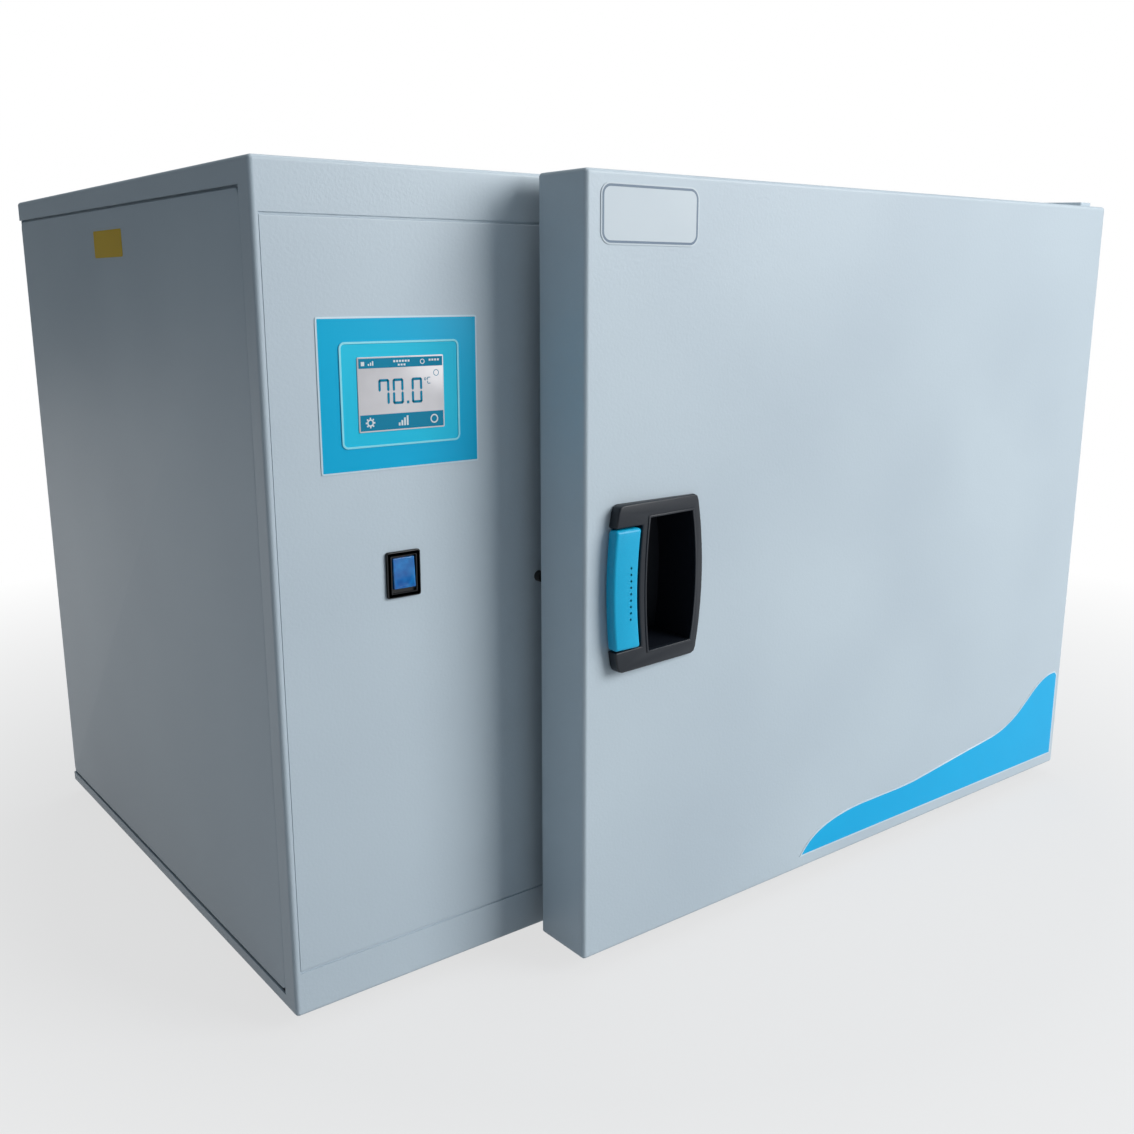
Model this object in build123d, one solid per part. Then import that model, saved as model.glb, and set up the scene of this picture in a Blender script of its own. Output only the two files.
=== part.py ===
"""Bench-top laboratory incubator: painted steel case with a control bay on the left and an insulated
stainless chamber on the right, closed by a thick insulated door hinged on its right side.

Everything is modelled in case coordinates: x from the case's left side, y back from the case's front
face, z up from the case's underside.  save() shifts each piece so that the origin of the written parts
is the bottom centre of the whole object's box: +X right, -Y front, +Z up.
"""
from build123d import *
from math import cos, radians, sin
import os

# ---------------------------------------------------------------- driving dimensions, millimetres
CASE_W, CASE_D, CASE_H = 832.0, 512.0, 560.0
SHEET = 1.5                 # painted outer sheet steel
LINER = 1.2                 # stainless sheet
BEND = 3.0                  # outside bend radius of the painted sheet
CLEAR = 0.3                 # gap between pieces that only lie against each other

FOOT_H, FOOT_R, FOOT_INSET = 12.0, 16.0, 54.0

DOOR_LEFT, DOOR_T, DOOR_GAP = 198.0, 50.0, 14.0
DOOR_INSET_RIGHT = 6.0      # the door stops this far short of the case's right side
DOOR_END_GAP = 1.0          # between the door's top or bottom and a hinge plate

REVEAL_FRONT, REVEAL_TOP, REVEAL_BOTTOM = 16.5, 16.0, 10.0   # strips left round a side panel
REAR_LIP, REAR_PANEL_GAP = 16.0, 3.0
REAR_SCREW_INSET_X, REAR_SCREW_INSET_Z, REAR_SCREW_COLUMNS = 26.0, 8.0, 5
VENT_H, VENT_PITCH = 4.0, 16.0
BAY_VENTS, BAY_VENT_X, BAY_VENT_FROM_TOP = 8, (50.0, 175.0), 200.0
MOTOR_VENTS, MOTOR_VENT_HALF_W, MOTOR_VENT_DROP = 6, 60.0, 90.0
PANEL_SINK, PANEL_SEAM, PANEL_FLANGE = 1.5, 1.6, 12.0
RAIL_H = 32.0               # front rails above and below the control panel
CONTROL_LEFT, CONTROL_RIGHT = 4.5, 217.0
CONTROL_SEAM, CONTROL_FLANGE = 1.3, 10.0
CONTROL_GAP_LEFT, CONTROL_GAP_RIGHT, CONTROL_LEDGE = 0.4, 0.6, 9.0

CHAMBER_LEFT, CHAMBER_RIGHT_WALL = 272.0, 60.0    # from the case's left and right sides
CHAMBER_BOTTOM, CHAMBER_ROOF = 70.0, 70.0         # from the case's underside and top
CHAMBER_BACK_WALL, PLENUM_D = 97.0, 35.0          # from the case's rear, and behind the baffle
CHAMBER_R, LINER_FLANGE = 14.0, 24.0
PLUG_GAP, PLUG_DEPTH = 7.0, 9.0                   # the door's inner plug, in the chamber's mouth

BULKHEAD_X, REAR_SERVICE_D = 220.0, 39.5
INSULATION_MARGIN = 20.0

OVERLAY_X, OVERLAY_FROM_TOP, OVERLAY_W, OVERLAY_H, OVERLAY_T = 96.0, 142.0, 118.0, 98.0, 0.6
BEZEL_W, BEZEL_H, BEZEL_PROUD, BEZEL_R = 88.0, 67.0, 2.2, 4.0
SCREEN_W, SCREEN_H = 63.0, 47.0
SWITCH_X, SWITCH_FROM_TOP, SWITCH_W, SWITCH_H = 93.0, 262.0, 25.6, 31.6
SWITCH_CUT_W, SWITCH_CUT_H = 22.0, 29.0
ROCKER_TILT, ROCKER_PIVOT_Y, ROCKER_PIN_R = 7.0, 3.0, 1.5    # it rests tilted to one side

HANDLE_FROM_EDGE, HANDLE_H = 63.0, 120.0    # its middle from the door's free edge
HANDLE_W, HANDLE_END_W = 92.0, 81.0
HANDLE_PROUD, HANDLE_PROUD_RIGHT = 10.0, 3.0
HANDLE_DEPTH = 40.0
POCKET_W, POCKET_H, POCKET_SHIFT, POCKET_D, POCKET_R = 51.0, 97.0, 12.5, 34.0, 5.0
LEVER_H, LEVER_PROUD = 86.0, 10.8
LEVER_GAP, LEVER_WALL = 3.2, 3.4    # room beside the lever for the squeeze, then the pocket's wall
LEVER_PIN_R, LEVER_PIN_Y, LEVER_PIN_SHIFT, LEVER_PIN_END = 2.5, 26.0, -27.0, 5.0
LEVER_END_GAP = 0.6          # between the lever's ends and the housing

TONGUE_T, TONGUE_H, TONGUE_REACH, HOOK = 3.0, 16.0, 9.0, 4.0
KEEPER_T, KEEPER_HALF_H, KEEPER_BEYOND_PIN, KEEPER_ROOM = 2.5, 28.0, 24.0, 4.0
HINGE_INSET, HINGE_PLATE_T, HINGE_ON_CASE = 12.0, 3.0, 30.0
HINGE_PIN_R, BUSH_WALL, HINGE_RUN, HINGE_REACH = 4.0, 2.0, 0.05, 20.0
HINGE_BLOCK, HINGE_BLOCK_H = 14.0, 22.0
HINGE_PLATE_REACH, HINGE_SCREW_IN, HINGE_STRIP_T = 69.0, 12.0, 3.0    # reach: from the pin to the left edge
SUNK_HEAD_R, SUNK_HEAD_H = 4.0, 2.0
BUMPER_R, BUMPER_T, BUMPER_IN = 4.0, 6.0, 8.0
BADGE_W, BADGE_H, BADGE_R, BADGE_T = 87.0, 39.0, 8.0, 0.5
BADGE_FROM_LEFT, BADGE_FROM_TOP = 55.5, 27.5      # its middle from the door's edges
FILM_L, FILM_T, FILM_FROM_RIGHT, FILM_FROM_BOTTOM, FILM_CORNER = 386.0, 0.4, 7.0, 11.0, 4.0
STICKER_Y, STICKER_W, STICKER_H, STICKER_FROM_TOP, STICKER_T = 235.0, 65.0, 20.0, 33.0, 0.3

SHELF_SIDE_GAP, SHELF_D, SHELF_FRONT = 6.0, 318.0, 28.0
SHELF_ROD, SHELF_WIRE, SHELF_WIRES = 3.0, 1.5, 17
SHELF_LEVELS, SHELF_PITCH, SHELF_FIRST = 5, 62.0, 60.0
RACK_T, RAIL_OUT, RAIL_T = 1.5, 13.0, 2.0
SHELF_AT = (0, 2)           # which runners hold the two shelves

FAN_R, FAN_DEPTH, FAN_BLADES, SHAFT_R = 72.0, 20.0, 12, 4.0
ELEMENT_R, ELEMENT_ROD, ELEMENT_START, ELEMENT_SWEEP = 92.0, 4.0, -70.0, 320.0    # angles in degrees
MOTOR_R, MOTOR_EARS, MOTOR_EAR_T = 38.0, 52.0, 3.0
BAFFLE_RINGS, BAFFLE_RING_STEP, BAFFLE_HOLE_R = 3, 16.0, 5.0
BAFFLE_SLOTS, BAFFLE_SLOT_PITCH, BAFFLE_SLOT_L, BAFFLE_SLOT_H, BAFFLE_SLOT_IN = 9, 35.0, 44.0, 6.0, 45.0
PROBE_R, PROBE_FROM_RIGHT, PROBE_FROM_TOP = 2.5, 72.0, 55.0
PORT_R, PORT_WALL, PORT_PROUD, PORT_FLANGE = 12.5, 1.5, 12.0, 6.5
PORT_FROM_LEFT, PORT_FROM_ROOF = 58.0, 50.0       # its middle from the chamber's walls
INLET_X, INLET_Z, INLET_W, INLET_H, INLET_D = 70.0, 90.0, 27.0, 47.0, 32.0
INLET_FLANGE_W, INLET_FLANGE_H, INLET_SOCKET_D = 34.0, 54.0, 16.0
BOARD_STANDOFF, BOARD_T, PILLAR_R, PILLAR_INSET = 12.0, 2.0, 3.0, 8.0
BOARD_Y, BOARD_Z = (120.0, 300.0), (150.0, 330.0)
SINK_Y, SINK_Z, SINK_BASE, SINK_OUT = (330.0, 430.0), (180.0, 300.0), 8.0, 34.0
SINK_FINS, SINK_FIN_T, SINK_PITCH = 9, 3.0, 14.0
RELAY_Y, RELAY_Z, RELAY_T = (352.0, 408.0), (215.0, 270.0), 22.0
STRIP_Y, STRIP_Z, STRIP_T, TERMINALS = (330.0, 440.0), (90.0, 125.0), 6.0, 8
TERMINAL_PITCH, TERMINAL_W, TERMINAL_OUT, TERMINAL_OVER = 12.0, 11.0, 40.0, 8.0
CUTOUT_Y, CUTOUT_Z, CUTOUT_R, CUTOUT_OUT = 380.0, 370.0, 18.0, 26.0
SCREW_R, SCREW_HEAD_R, SCREW_HEAD_H = 2.0, 3.8, 2.2

# ---------------------------------------------------------------- places worked out from them
DOOR_RIGHT = CASE_W - DOOR_INSET_RIGHT
DOOR_BOTTOM, DOOR_TOP = DOOR_END_GAP, CASE_H - DOOR_END_GAP
DOOR_BACK = -DOOR_GAP
DOOR_FRONT = -DOOR_GAP - DOOR_T
OVERLAY_Z, SWITCH_Z = CASE_H - OVERLAY_FROM_TOP, CASE_H - SWITCH_FROM_TOP
HANDLE_X, HANDLE_Z = DOOR_LEFT + HANDLE_FROM_EDGE, (DOOR_BOTTOM + DOOR_TOP) / 2
POCKET_X, LEVER_PIN_X = HANDLE_X + POCKET_SHIFT, HANDLE_X + LEVER_PIN_SHIFT
KEEPER_RIGHT = LEVER_PIN_X + KEEPER_BEYOND_PIN
CHAMBER_RIGHT, CHAMBER_TOP = CASE_W - CHAMBER_RIGHT_WALL, CASE_H - CHAMBER_ROOF
CHAMBER_W, CHAMBER_H = CHAMBER_RIGHT - CHAMBER_LEFT, CHAMBER_TOP - CHAMBER_BOTTOM
CHAMBER_X = (CHAMBER_LEFT + CHAMBER_RIGHT) / 2
CHAMBER_Z = (CHAMBER_BOTTOM + CHAMBER_TOP) / 2
LINER_BACK = CASE_D - CHAMBER_BACK_WALL
CHAMBER_D = LINER_BACK - PLENUM_D
REAR_WALL_Y = CASE_D - REAR_SERVICE_D
INSULATION_RIGHT = CASE_W - PANEL_SINK - PANEL_FLANGE - 1.5
SHELF_W = CHAMBER_W - 2 * SHELF_SIDE_GAP
PORT_X, PORT_Z = CHAMBER_LEFT + PORT_FROM_LEFT, CHAMBER_TOP - PORT_FROM_ROOF
PROBE_X, PROBE_Z = CHAMBER_RIGHT - PROBE_FROM_RIGHT, CHAMBER_TOP - PROBE_FROM_TOP
HINGE_X, HINGE_Y = DOOR_RIGHT - HINGE_INSET, DOOR_BACK - DOOR_T / 2
BUSH_R = HINGE_PIN_R + BUSH_WALL
LEVER_Y = DOOR_FRONT + LEVER_PIN_Y
OVERALL_FRONT = DOOR_FRONT - LEVER_PROUD
OVERALL_BACK = CASE_D + PORT_PROUD
SHIFT = (-CASE_W / 2, -(OVERALL_FRONT + OVERALL_BACK) / 2, FOOT_H)


# ---------------------------------------------------------------- helpers
def block(x, y, z):
    """A box from its low and high x, y and z."""
    size = [b - a for a, b in (x, y, z)]
    middle = [(a + b) / 2 for a, b in (x, y, z)]
    return Pos(*middle) * Box(*size)


def rod(x, y, z, radius, axis="y"):
    """A cylinder along one axis; the pair given on that axis is its low and high end."""
    low, high = {"x": x, "y": y, "z": z}[axis]
    turn = {"x": Rot(0, 90, 0), "y": Rot(90, 0, 0), "z": Rot(0, 0, 0)}[axis]
    centre = [(low + high) / 2 if axis == name else value for name, value in zip("xyz", (x, y, z))]
    return Pos(*centre) * turn * Cylinder(radius, high - low)


def plate(x, z, width, height, y, radius):
    """A plate with rounded corners, facing the front, centred at x, z, from y low to y high."""
    outline = Pos(x, y[1], z) * Rot(90, 0, 0) * RectangleRounded(width, height, radius)
    return extrude(outline, amount=y[1] - y[0])


def tray(x, y, z, wall, radius):
    """A box open at the back, with its front edges and its long front-to-back edges bent."""
    outer = block(x, y, z)
    edges = outer.faces().sort_by(Axis.Y)[0].edges() + outer.edges().filter_by(Axis.Y)
    outer = fillet(edges, radius)
    return outer - block((x[0] + wall, x[1] - wall), (y[0] + wall, y[1] + 1), (z[0] + wall, z[1] - wall))


def welded(shape, seams):
    """Cuts a folded shell into its sheets at the seams, given as boxes taken off one after another."""
    sheets, rest = [], shape
    for seam in seams:
        sheets += (rest & seam).solids()
        rest = rest - seam
    return sheets + rest.solids()


def save(name, *shapes):
    """Writes one node, moved to the object's own origin."""
    solids = [s for shape in shapes for s in shape.solids()]
    whole = solids[0] if len(solids) == 1 else Compound(solids)
    export_step(Pos(*SHIFT) * whole, f"parts/{name}.step")


# ---------------------------------------------------------------- outlines that several pieces share
def handle_outline(shrink=0.0):
    """The handle's front outline: flat top and bottom, bowed sides; in x, z about its middle."""
    half_h = HANDLE_H / 2 - shrink
    half_end, half_mid = HANDLE_END_W / 2 - shrink, HANDLE_W / 2 - shrink
    return [
        Line((-half_end, half_h), (half_end, half_h)),
        ThreePointArc((half_end, half_h), (half_mid, 0), (half_end, -half_h)),
        Line((half_end, -half_h), (-half_end, -half_h)),
        ThreePointArc((-half_end, -half_h), (-half_mid, 0), (-half_end, half_h)),
    ]


def handle_prism(y, shrink=0.0, round_corner=5.0):
    face = make_face(Wire(handle_outline(shrink)))
    face = fillet(face.vertices(), max(round_corner - shrink, 0.8))
    face = Pos(HANDLE_X, y[1], HANDLE_Z) * Rot(90, 0, 0) * face
    return extrude(face, amount=y[1] - y[0])


def chamber_prism(grow, y):
    """The chamber's rounded section, grown by a margin, from y low to y high."""
    return plate(CHAMBER_X, CHAMBER_Z, CHAMBER_W + 2 * grow, CHAMBER_H + 2 * grow, y, CHAMBER_R + grow)


def keeper_slot(y):
    """The hole that the latch tongue enters."""
    low = LEVER_PIN_X - TONGUE_T / 2 - 6
    high = LEVER_PIN_X + TONGUE_T / 2 + HOOK + 0.4
    return block((low, high), y, (HANDLE_Z - TONGUE_H / 2 - 2, HANDLE_Z + TONGUE_H / 2 + 2))


# ---------------------------------------------------------------- case
def rear_screw_places():
    pitch = (CASE_W - 2 * REAR_SCREW_INSET_X) / (REAR_SCREW_COLUMNS - 1)
    xs = [REAR_SCREW_INSET_X + i * pitch for i in range(REAR_SCREW_COLUMNS)]
    return [(x, z) for x in xs for z in (REAR_SCREW_INSET_Z, CASE_H - REAR_SCREW_INSET_Z)]


def outer_case():
    body = block((0, CASE_W), (0, CASE_D), (0, CASE_H))
    edges = body.faces().sort_by(Axis.Y)[0].edges() + body.edges().filter_by(Axis.Y)
    body = fillet(edges, BEND)
    body -= block((SHEET, CASE_W - SHEET), (SHEET, CASE_D - SHEET), (SHEET, CASE_H - SHEET))
    window_y = (REVEAL_FRONT, CASE_D + 1)
    window_z = (REVEAL_BOTTOM, CASE_H - REVEAL_TOP)
    body -= block((-1, SHEET), window_y, window_z)
    body -= block((CASE_W - SHEET, CASE_W + 1), window_y, window_z)
    rear_mouth_x, rear_mouth_z = (REAR_LIP, CASE_W - REAR_LIP), (REAR_LIP, CASE_H - REAR_LIP)
    body -= block(rear_mouth_x, (CASE_D - 5, CASE_D + 1), rear_mouth_z)
    # control bay opening, with folded returns and ledges that carry the panel
    low, high = RAIL_H, CASE_H - RAIL_H
    body -= block((CONTROL_LEFT, CONTROL_RIGHT), (-1, SHEET + 1), (low, high))
    back = CONTROL_FLANGE + SHEET
    for edge, side in ((low, 1), (high, -1)):
        web = sorted((edge, edge - side * SHEET))
        ledge = sorted((edge - side * SHEET, edge + side * CONTROL_LEDGE))
        body += block((CONTROL_LEFT, CONTROL_RIGHT), (SHEET, back + SHEET), web)
        body += block((CONTROL_LEFT, CONTROL_RIGHT), (back, back + SHEET), ledge)
    body -= chamber_prism(LINER + CLEAR, (-1, SHEET + 1))
    body -= keeper_slot((-1, SHEET + 1))
    for x, y in hinge_screw_places():
        body -= rod(x, y, (-1, SHEET + 1), SCREW_R + 0.1, "z")
        body -= rod(x, y, (CASE_H - SHEET - 1, CASE_H + 1), SCREW_R + 0.1, "z")
    for x, z in rear_screw_places():
        body -= rod(x, (CASE_D - 3, CASE_D + 1), z, SCREW_R + 0.1)
    for x, y in foot_places():
        body -= rod(x, y, (-1, SHEET + 1), SCREW_R + 0.1, "z")
    return body


def case_sheets():
    """The case as its welded sheets: top, base, posts, side strips, rear lips and front bars."""
    far, front = CASE_W + CASE_D, BEND
    wide, tall, deep = (-far, far), (-far, far), (front, far)
    mouth_low, mouth_high = CHAMBER_BOTTOM - LINER - CLEAR, CHAMBER_TOP + LINER + CLEAR
    mouth_left, mouth_right = CHAMBER_LEFT - LINER - CLEAR, CHAMBER_RIGHT + LINER + CLEAR
    slot = keeper_slot((0, 1)).bounding_box()
    rail_low, rail_high = RAIL_H, CASE_H - RAIL_H
    rear = (CASE_D - SHEET, far)
    seams = [
        block(wide, deep, (CASE_H - SHEET, far)),
        block(wide, deep, (-far, SHEET)),
        block(wide, rear, (CASE_H - REAR_LIP, far)),
        block(wide, rear, (-far, REAR_LIP)),
        block((-far, CASE_W / 2), rear, tall),
        block((CASE_W / 2, far), rear, tall),
        block((-far, SHEET), (front, REVEAL_FRONT), tall),
        block((CASE_W - SHEET, far), (front, REVEAL_FRONT), tall),
        block((-far, SHEET), deep, (CASE_H / 2, far)),
        block((-far, SHEET), deep, (-far, CASE_H / 2)),
        block((CASE_W - SHEET, far), deep, (CASE_H / 2, far)),
        block((CASE_W - SHEET, far), deep, (-far, CASE_H / 2)),
        block(wide, (CONTROL_FLANGE + SHEET, far), tall),
        block(wide, deep, tall),
        block((-far, CONTROL_LEFT), (-far, far), tall),
        block((-far, CONTROL_RIGHT), (-far, far), (rail_high - SHEET, far)),
        block((-far, CONTROL_RIGHT), (-far, far), (-far, rail_low + SHEET)),
        block((-far, slot.min.X), (-far, far), tall),
        block((slot.max.X, mouth_left), (-far, far), tall),
        block((-far, mouth_left), (-far, far), (slot.max.Z, far)),
        block((-far, mouth_left), (-far, far), (-far, slot.min.Z)),
        block((mouth_right, far), (-far, far), tall),
        block(wide, (-far, far), (mouth_high, far)),
        block(wide, (-far, far), (-far, mouth_low)),
    ]
    return welded(outer_case(), seams)


def foot_places():
    xs, ys = (FOOT_INSET, CASE_W - FOOT_INSET), (FOOT_INSET, CASE_D - FOOT_INSET)
    return [(x, y) for x in xs for y in ys]


def side_panel(side):
    """A removable side: a folded tray set a little below the case's side, open to the inside."""
    y = (REVEAL_FRONT + PANEL_SEAM, CASE_D - SHEET - CLEAR)
    z = (REVEAL_BOTTOM + PANEL_SEAM, CASE_H - REVEAL_TOP - PANEL_SEAM)
    outer = block((0, PANEL_FLANGE), y, z)
    face = outer.faces().sort_by(Axis.X)[0]
    outer = fillet(face.edges(), 2.4)
    outer -= block((SHEET, PANEL_FLANGE + 1), (y[0] + SHEET, y[1] - SHEET), (z[0] + SHEET, z[1] - SHEET))
    if side == "left":
        return Pos(PANEL_SINK, 0, 0) * outer
    return Pos(CASE_W - PANEL_SINK, 0, 0) * outer.mirror(Plane.YZ)


def panel_clips():
    """Spring clips that carry both side panels on the case's front corners and rear posts."""
    clips = []
    for x in (SHEET, CASE_W - SHEET - 13):
        for z in (CASE_H * 0.25, CASE_H * 0.75):
            y = (CONTROL_FLANGE + SHEET + CLEAR, REVEAL_FRONT + PANEL_SEAM - CLEAR)
            clips.append(block((x, x + 13), y, (z - 12, z + 12)))
    return clips


def rear_panel():
    """The back sheet, inside the case's rear lip, with cooling slots behind the bay and the motor."""
    y = (CASE_D - 2 * SHEET - CLEAR, CASE_D - SHEET - CLEAR)
    cut = (y[0] - 1, y[1] + 1)
    side = REAR_PANEL_GAP + PANEL_FLANGE
    body = block((side, CASE_W - side), y, (REAR_PANEL_GAP, CASE_H - REAR_PANEL_GAP))
    body -= rod(PORT_X, cut, PORT_Z, PORT_R + PORT_WALL + CLEAR)
    inlet_x = (INLET_X - INLET_W / 2 - 0.5, INLET_X + INLET_W / 2 + 0.5)
    body -= block(inlet_x, cut, (INLET_Z - INLET_H / 2 - 0.5, INLET_Z + INLET_H / 2 + 0.5))
    motor_x = (CHAMBER_X - MOTOR_VENT_HALF_W, CHAMBER_X + MOTOR_VENT_HALF_W)
    vents = ((BAY_VENT_X, CASE_H - BAY_VENT_FROM_TOP, BAY_VENTS),
             (motor_x, CHAMBER_Z - MOTOR_VENT_DROP, MOTOR_VENTS))
    for x, low, rows in vents:
        for row in range(rows):
            z = low + row * VENT_PITCH
            body -= block(x, cut, (z, z + VENT_H))
    for x, z in rear_screw_places():
        body -= rod(x, cut, z, SCREW_R + 0.1)
    return body


def rear_screws():
    screws = []
    for x, z in rear_screw_places():
        head = rod(x, (CASE_D, CASE_D + SCREW_HEAD_H), z, SCREW_HEAD_R)
        screws.append(head + rod(x, (CASE_D - 7, CASE_D + 0.1), z, SCREW_R))
    return screws


def feet():
    pads, screws = [], []
    for x, y in foot_places():
        pad = Pos(x, y, -FOOT_H / 2) * Cone(FOOT_R - 3, FOOT_R, FOOT_H)
        pad = fillet(pad.faces().sort_by(Axis.Z)[0].edges(), 2)
        pad -= rod(x, y, (-FOOT_H - 1, -FOOT_H + 6), SCREW_HEAD_R + 1.2, "z")
        pad -= rod(x, y, (-FOOT_H, 1), SCREW_R + 0.1, "z")
        pads.append(pad)
        head = rod(x, y, (-FOOT_H + 3.8, -FOOT_H + 6), SCREW_HEAD_R, "z")
        screws.append(head + rod(x, y, (-FOOT_H + 5.9, 6), SCREW_R, "z"))
    return pads, screws


def bulkhead():
    """Sheet between the control bay and the insulated side."""
    return block((BULKHEAD_X, BULKHEAD_X + SHEET), (SHEET, REAR_WALL_Y), (SHEET, CASE_H - SHEET))


def rear_wall():
    """Galvanised sheet that closes the insulation and carries the fan motor."""
    y = (REAR_WALL_Y, REAR_WALL_Y + SHEET)
    wall = block((BULKHEAD_X, CASE_W - PANEL_SINK - PANEL_FLANGE - CLEAR), y, (SHEET, CASE_H - SHEET))
    return wall - rear_services(0.4, y)


def hinge_backing_plates():
    """Steel strips inside the case's top and base that take the hinge screws."""
    x, y = hinge_plate_left() + 4, (SHEET, HINGE_ON_CASE + 4)
    plates = []
    top = CASE_H - SHEET
    for z in ((SHEET, SHEET + HINGE_STRIP_T), (top - HINGE_STRIP_T, top)):
        strip = block((x, INSULATION_RIGHT), y, z)
        for hx, hy in hinge_screw_places():
            strip -= rod(hx, hy, (z[0] - 1, z[1] + 1), SCREW_R + 0.1, "z")
        plates.append(strip)
    return plates


# ---------------------------------------------------------------- chamber
def rear_services(clearance, y):
    """What passes through the chamber's back: fan shaft, element legs, probe and access port."""
    holes = rod(CHAMBER_X, y, CHAMBER_Z, SHAFT_R + 2 + clearance)
    for angle in (ELEMENT_START, ELEMENT_START + ELEMENT_SWEEP):
        x = CHAMBER_X + ELEMENT_R * cos(radians(angle))
        z = CHAMBER_Z + ELEMENT_R * sin(radians(angle))
        holes += rod(x, y, z, ELEMENT_ROD + clearance)
    holes += rod(PROBE_X, y, PROBE_Z, PROBE_R + clearance)
    return holes + rod(PORT_X, y, PORT_Z, PORT_R + PORT_WALL + clearance)


def chamber_liner():
    shell = chamber_prism(LINER, (-LINER, LINER_BACK + LINER))
    shell += chamber_prism(LINER_FLANGE, (-LINER, 0))
    shell -= chamber_prism(0, (-LINER - 1, LINER_BACK))
    return shell - rear_services(0.3, (LINER_BACK - 1, LINER_BACK + LINER + 1))


def liner_sheets():
    """The liner as its welded sheets: back, four walls, four bent corners and the flange's strips."""
    far = CASE_W + CASE_D
    left, right = CHAMBER_LEFT + CHAMBER_R, CHAMBER_RIGHT - CHAMBER_R
    low, high = CHAMBER_BOTTOM + CHAMBER_R, CHAMBER_TOP - CHAMBER_R
    columns, rows = ((-far, left), (left, right), (right, far)), ((-far, low), (low, high), (high, far))
    seams = [block((-far, far), (LINER_BACK, far), (-far, far))]
    for y in ((0, LINER_BACK), (-far, 0)):
        seams += [block(x, y, z) for x in columns for z in rows]
    return welded(chamber_liner(), seams)


def insulation_jacket():
    """Mineral wool round the chamber, cut back at the latch."""
    x = (BULKHEAD_X + SHEET + CLEAR, INSULATION_RIGHT)
    z = (INSULATION_MARGIN, CASE_H - INSULATION_MARGIN)
    wool = block(x, (SHEET + CLEAR, REAR_WALL_Y - CLEAR), z)
    wool -= chamber_prism(LINER + CLEAR, (0, LINER_BACK + LINER + CLEAR))
    wool -= rear_services(0.5, (LINER_BACK, REAR_WALL_Y + 1))
    latch_z = (HANDLE_Z - KEEPER_HALF_H - 6, HANDLE_Z + KEEPER_HALF_H + 6)
    return wool - block((x[0] - 1, KEEPER_RIGHT + KEEPER_ROOM), (0, 30), latch_z)


def baffle():
    """Duct cover in front of the fan, perforated in the middle and slotted at both sides."""
    y = (CHAMBER_D, CHAMBER_D + LINER)
    sheet = plate(CHAMBER_X, CHAMBER_Z, CHAMBER_W - 1, CHAMBER_H - 1, y, CHAMBER_R)
    cut = (y[0] - 1, y[1] + 1)
    holes = []
    for step in range(BAFFLE_RINGS + 1):
        ring, count = step * BAFFLE_RING_STEP, max(6 * step, 1)
        for i in range(count):
            angle = radians(360 * i / count)
            x, z = CHAMBER_X + ring * cos(angle), CHAMBER_Z + ring * sin(angle)
            holes.append(rod(x, cut, z, BAFFLE_HOLE_R))
    for side in (-1, 1):
        x = CHAMBER_X + side * (CHAMBER_W / 2 - BAFFLE_SLOT_IN)
        for row in range(BAFFLE_SLOTS):
            z = CHAMBER_Z + (row - (BAFFLE_SLOTS - 1) / 2) * BAFFLE_SLOT_PITCH
            slot_x = (x - BAFFLE_SLOT_L / 2, x + BAFFLE_SLOT_L / 2)
            holes.append(block(slot_x, cut, (z - BAFFLE_SLOT_H / 2, z + BAFFLE_SLOT_H / 2)))
    holes.append(rod(PROBE_X, cut, PROBE_Z, PROBE_R + 0.4))
    holes.append(rod(PORT_X, cut, PORT_Z, PORT_R + PORT_WALL + 0.4))
    return sheet.cut(*[s for h in holes for s in h.solids()])


def baffle_studs():
    """Spacers that stand the baffle off the chamber's back."""
    places = [(CHAMBER_X + sx * (CHAMBER_W / 2 - 30), CHAMBER_Z + sz * (CHAMBER_H / 2 - 22))
              for sx in (-1, 1) for sz in (-1, 1)]
    return [rod(x, (CHAMBER_D + LINER, LINER_BACK), z, 4) for x, z in places]


def fan_impeller():
    """Radial wheel: a back plate, blades and a hub on the motor's shaft."""
    front, back = CHAMBER_D + LINER + 6, CHAMBER_D + LINER + 6 + FAN_DEPTH
    wheel = rod(CHAMBER_X, (back - 1.5, back), CHAMBER_Z, FAN_R)
    wheel += rod(CHAMBER_X, (front + 4, back), CHAMBER_Z, 12)
    blade = Pos(FAN_R - 16, 0, 0) * Rot(0, 35, 0) * Box(26, FAN_DEPTH - 1.5, 1.5)
    for i in range(FAN_BLADES):
        place = Pos(CHAMBER_X, (front + back - 1.5) / 2, CHAMBER_Z) * Rot(0, i * 360 / FAN_BLADES, 0)
        wheel += place * blade
    return wheel - rod(CHAMBER_X, (front, back + 1), CHAMBER_Z, SHAFT_R)


def fan_shaft():
    return rod(CHAMBER_X, (CHAMBER_D + LINER + 12, REAR_WALL_Y + 6), CHAMBER_Z, SHAFT_R - 0.02)


def fan_motor():
    """Flat motor on the rear wall, with a bearing nose round the shaft."""
    y = (REAR_WALL_Y + SHEET, CASE_D - 2 * SHEET - CLEAR - 4)
    body = rod(CHAMBER_X, y, CHAMBER_Z, MOTOR_R)
    body = fillet(body.edges().sort_by(Axis.Y)[-1], 3)
    ears_x = (CHAMBER_X - MOTOR_EARS, CHAMBER_X + MOTOR_EARS)
    body += block(ears_x, (y[0], y[0] + MOTOR_EAR_T), (CHAMBER_Z - 9, CHAMBER_Z + 9))
    return body - rod(CHAMBER_X, (y[0] - 1, y[0] + 8), CHAMBER_Z, SHAFT_R + 0.03)


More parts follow.
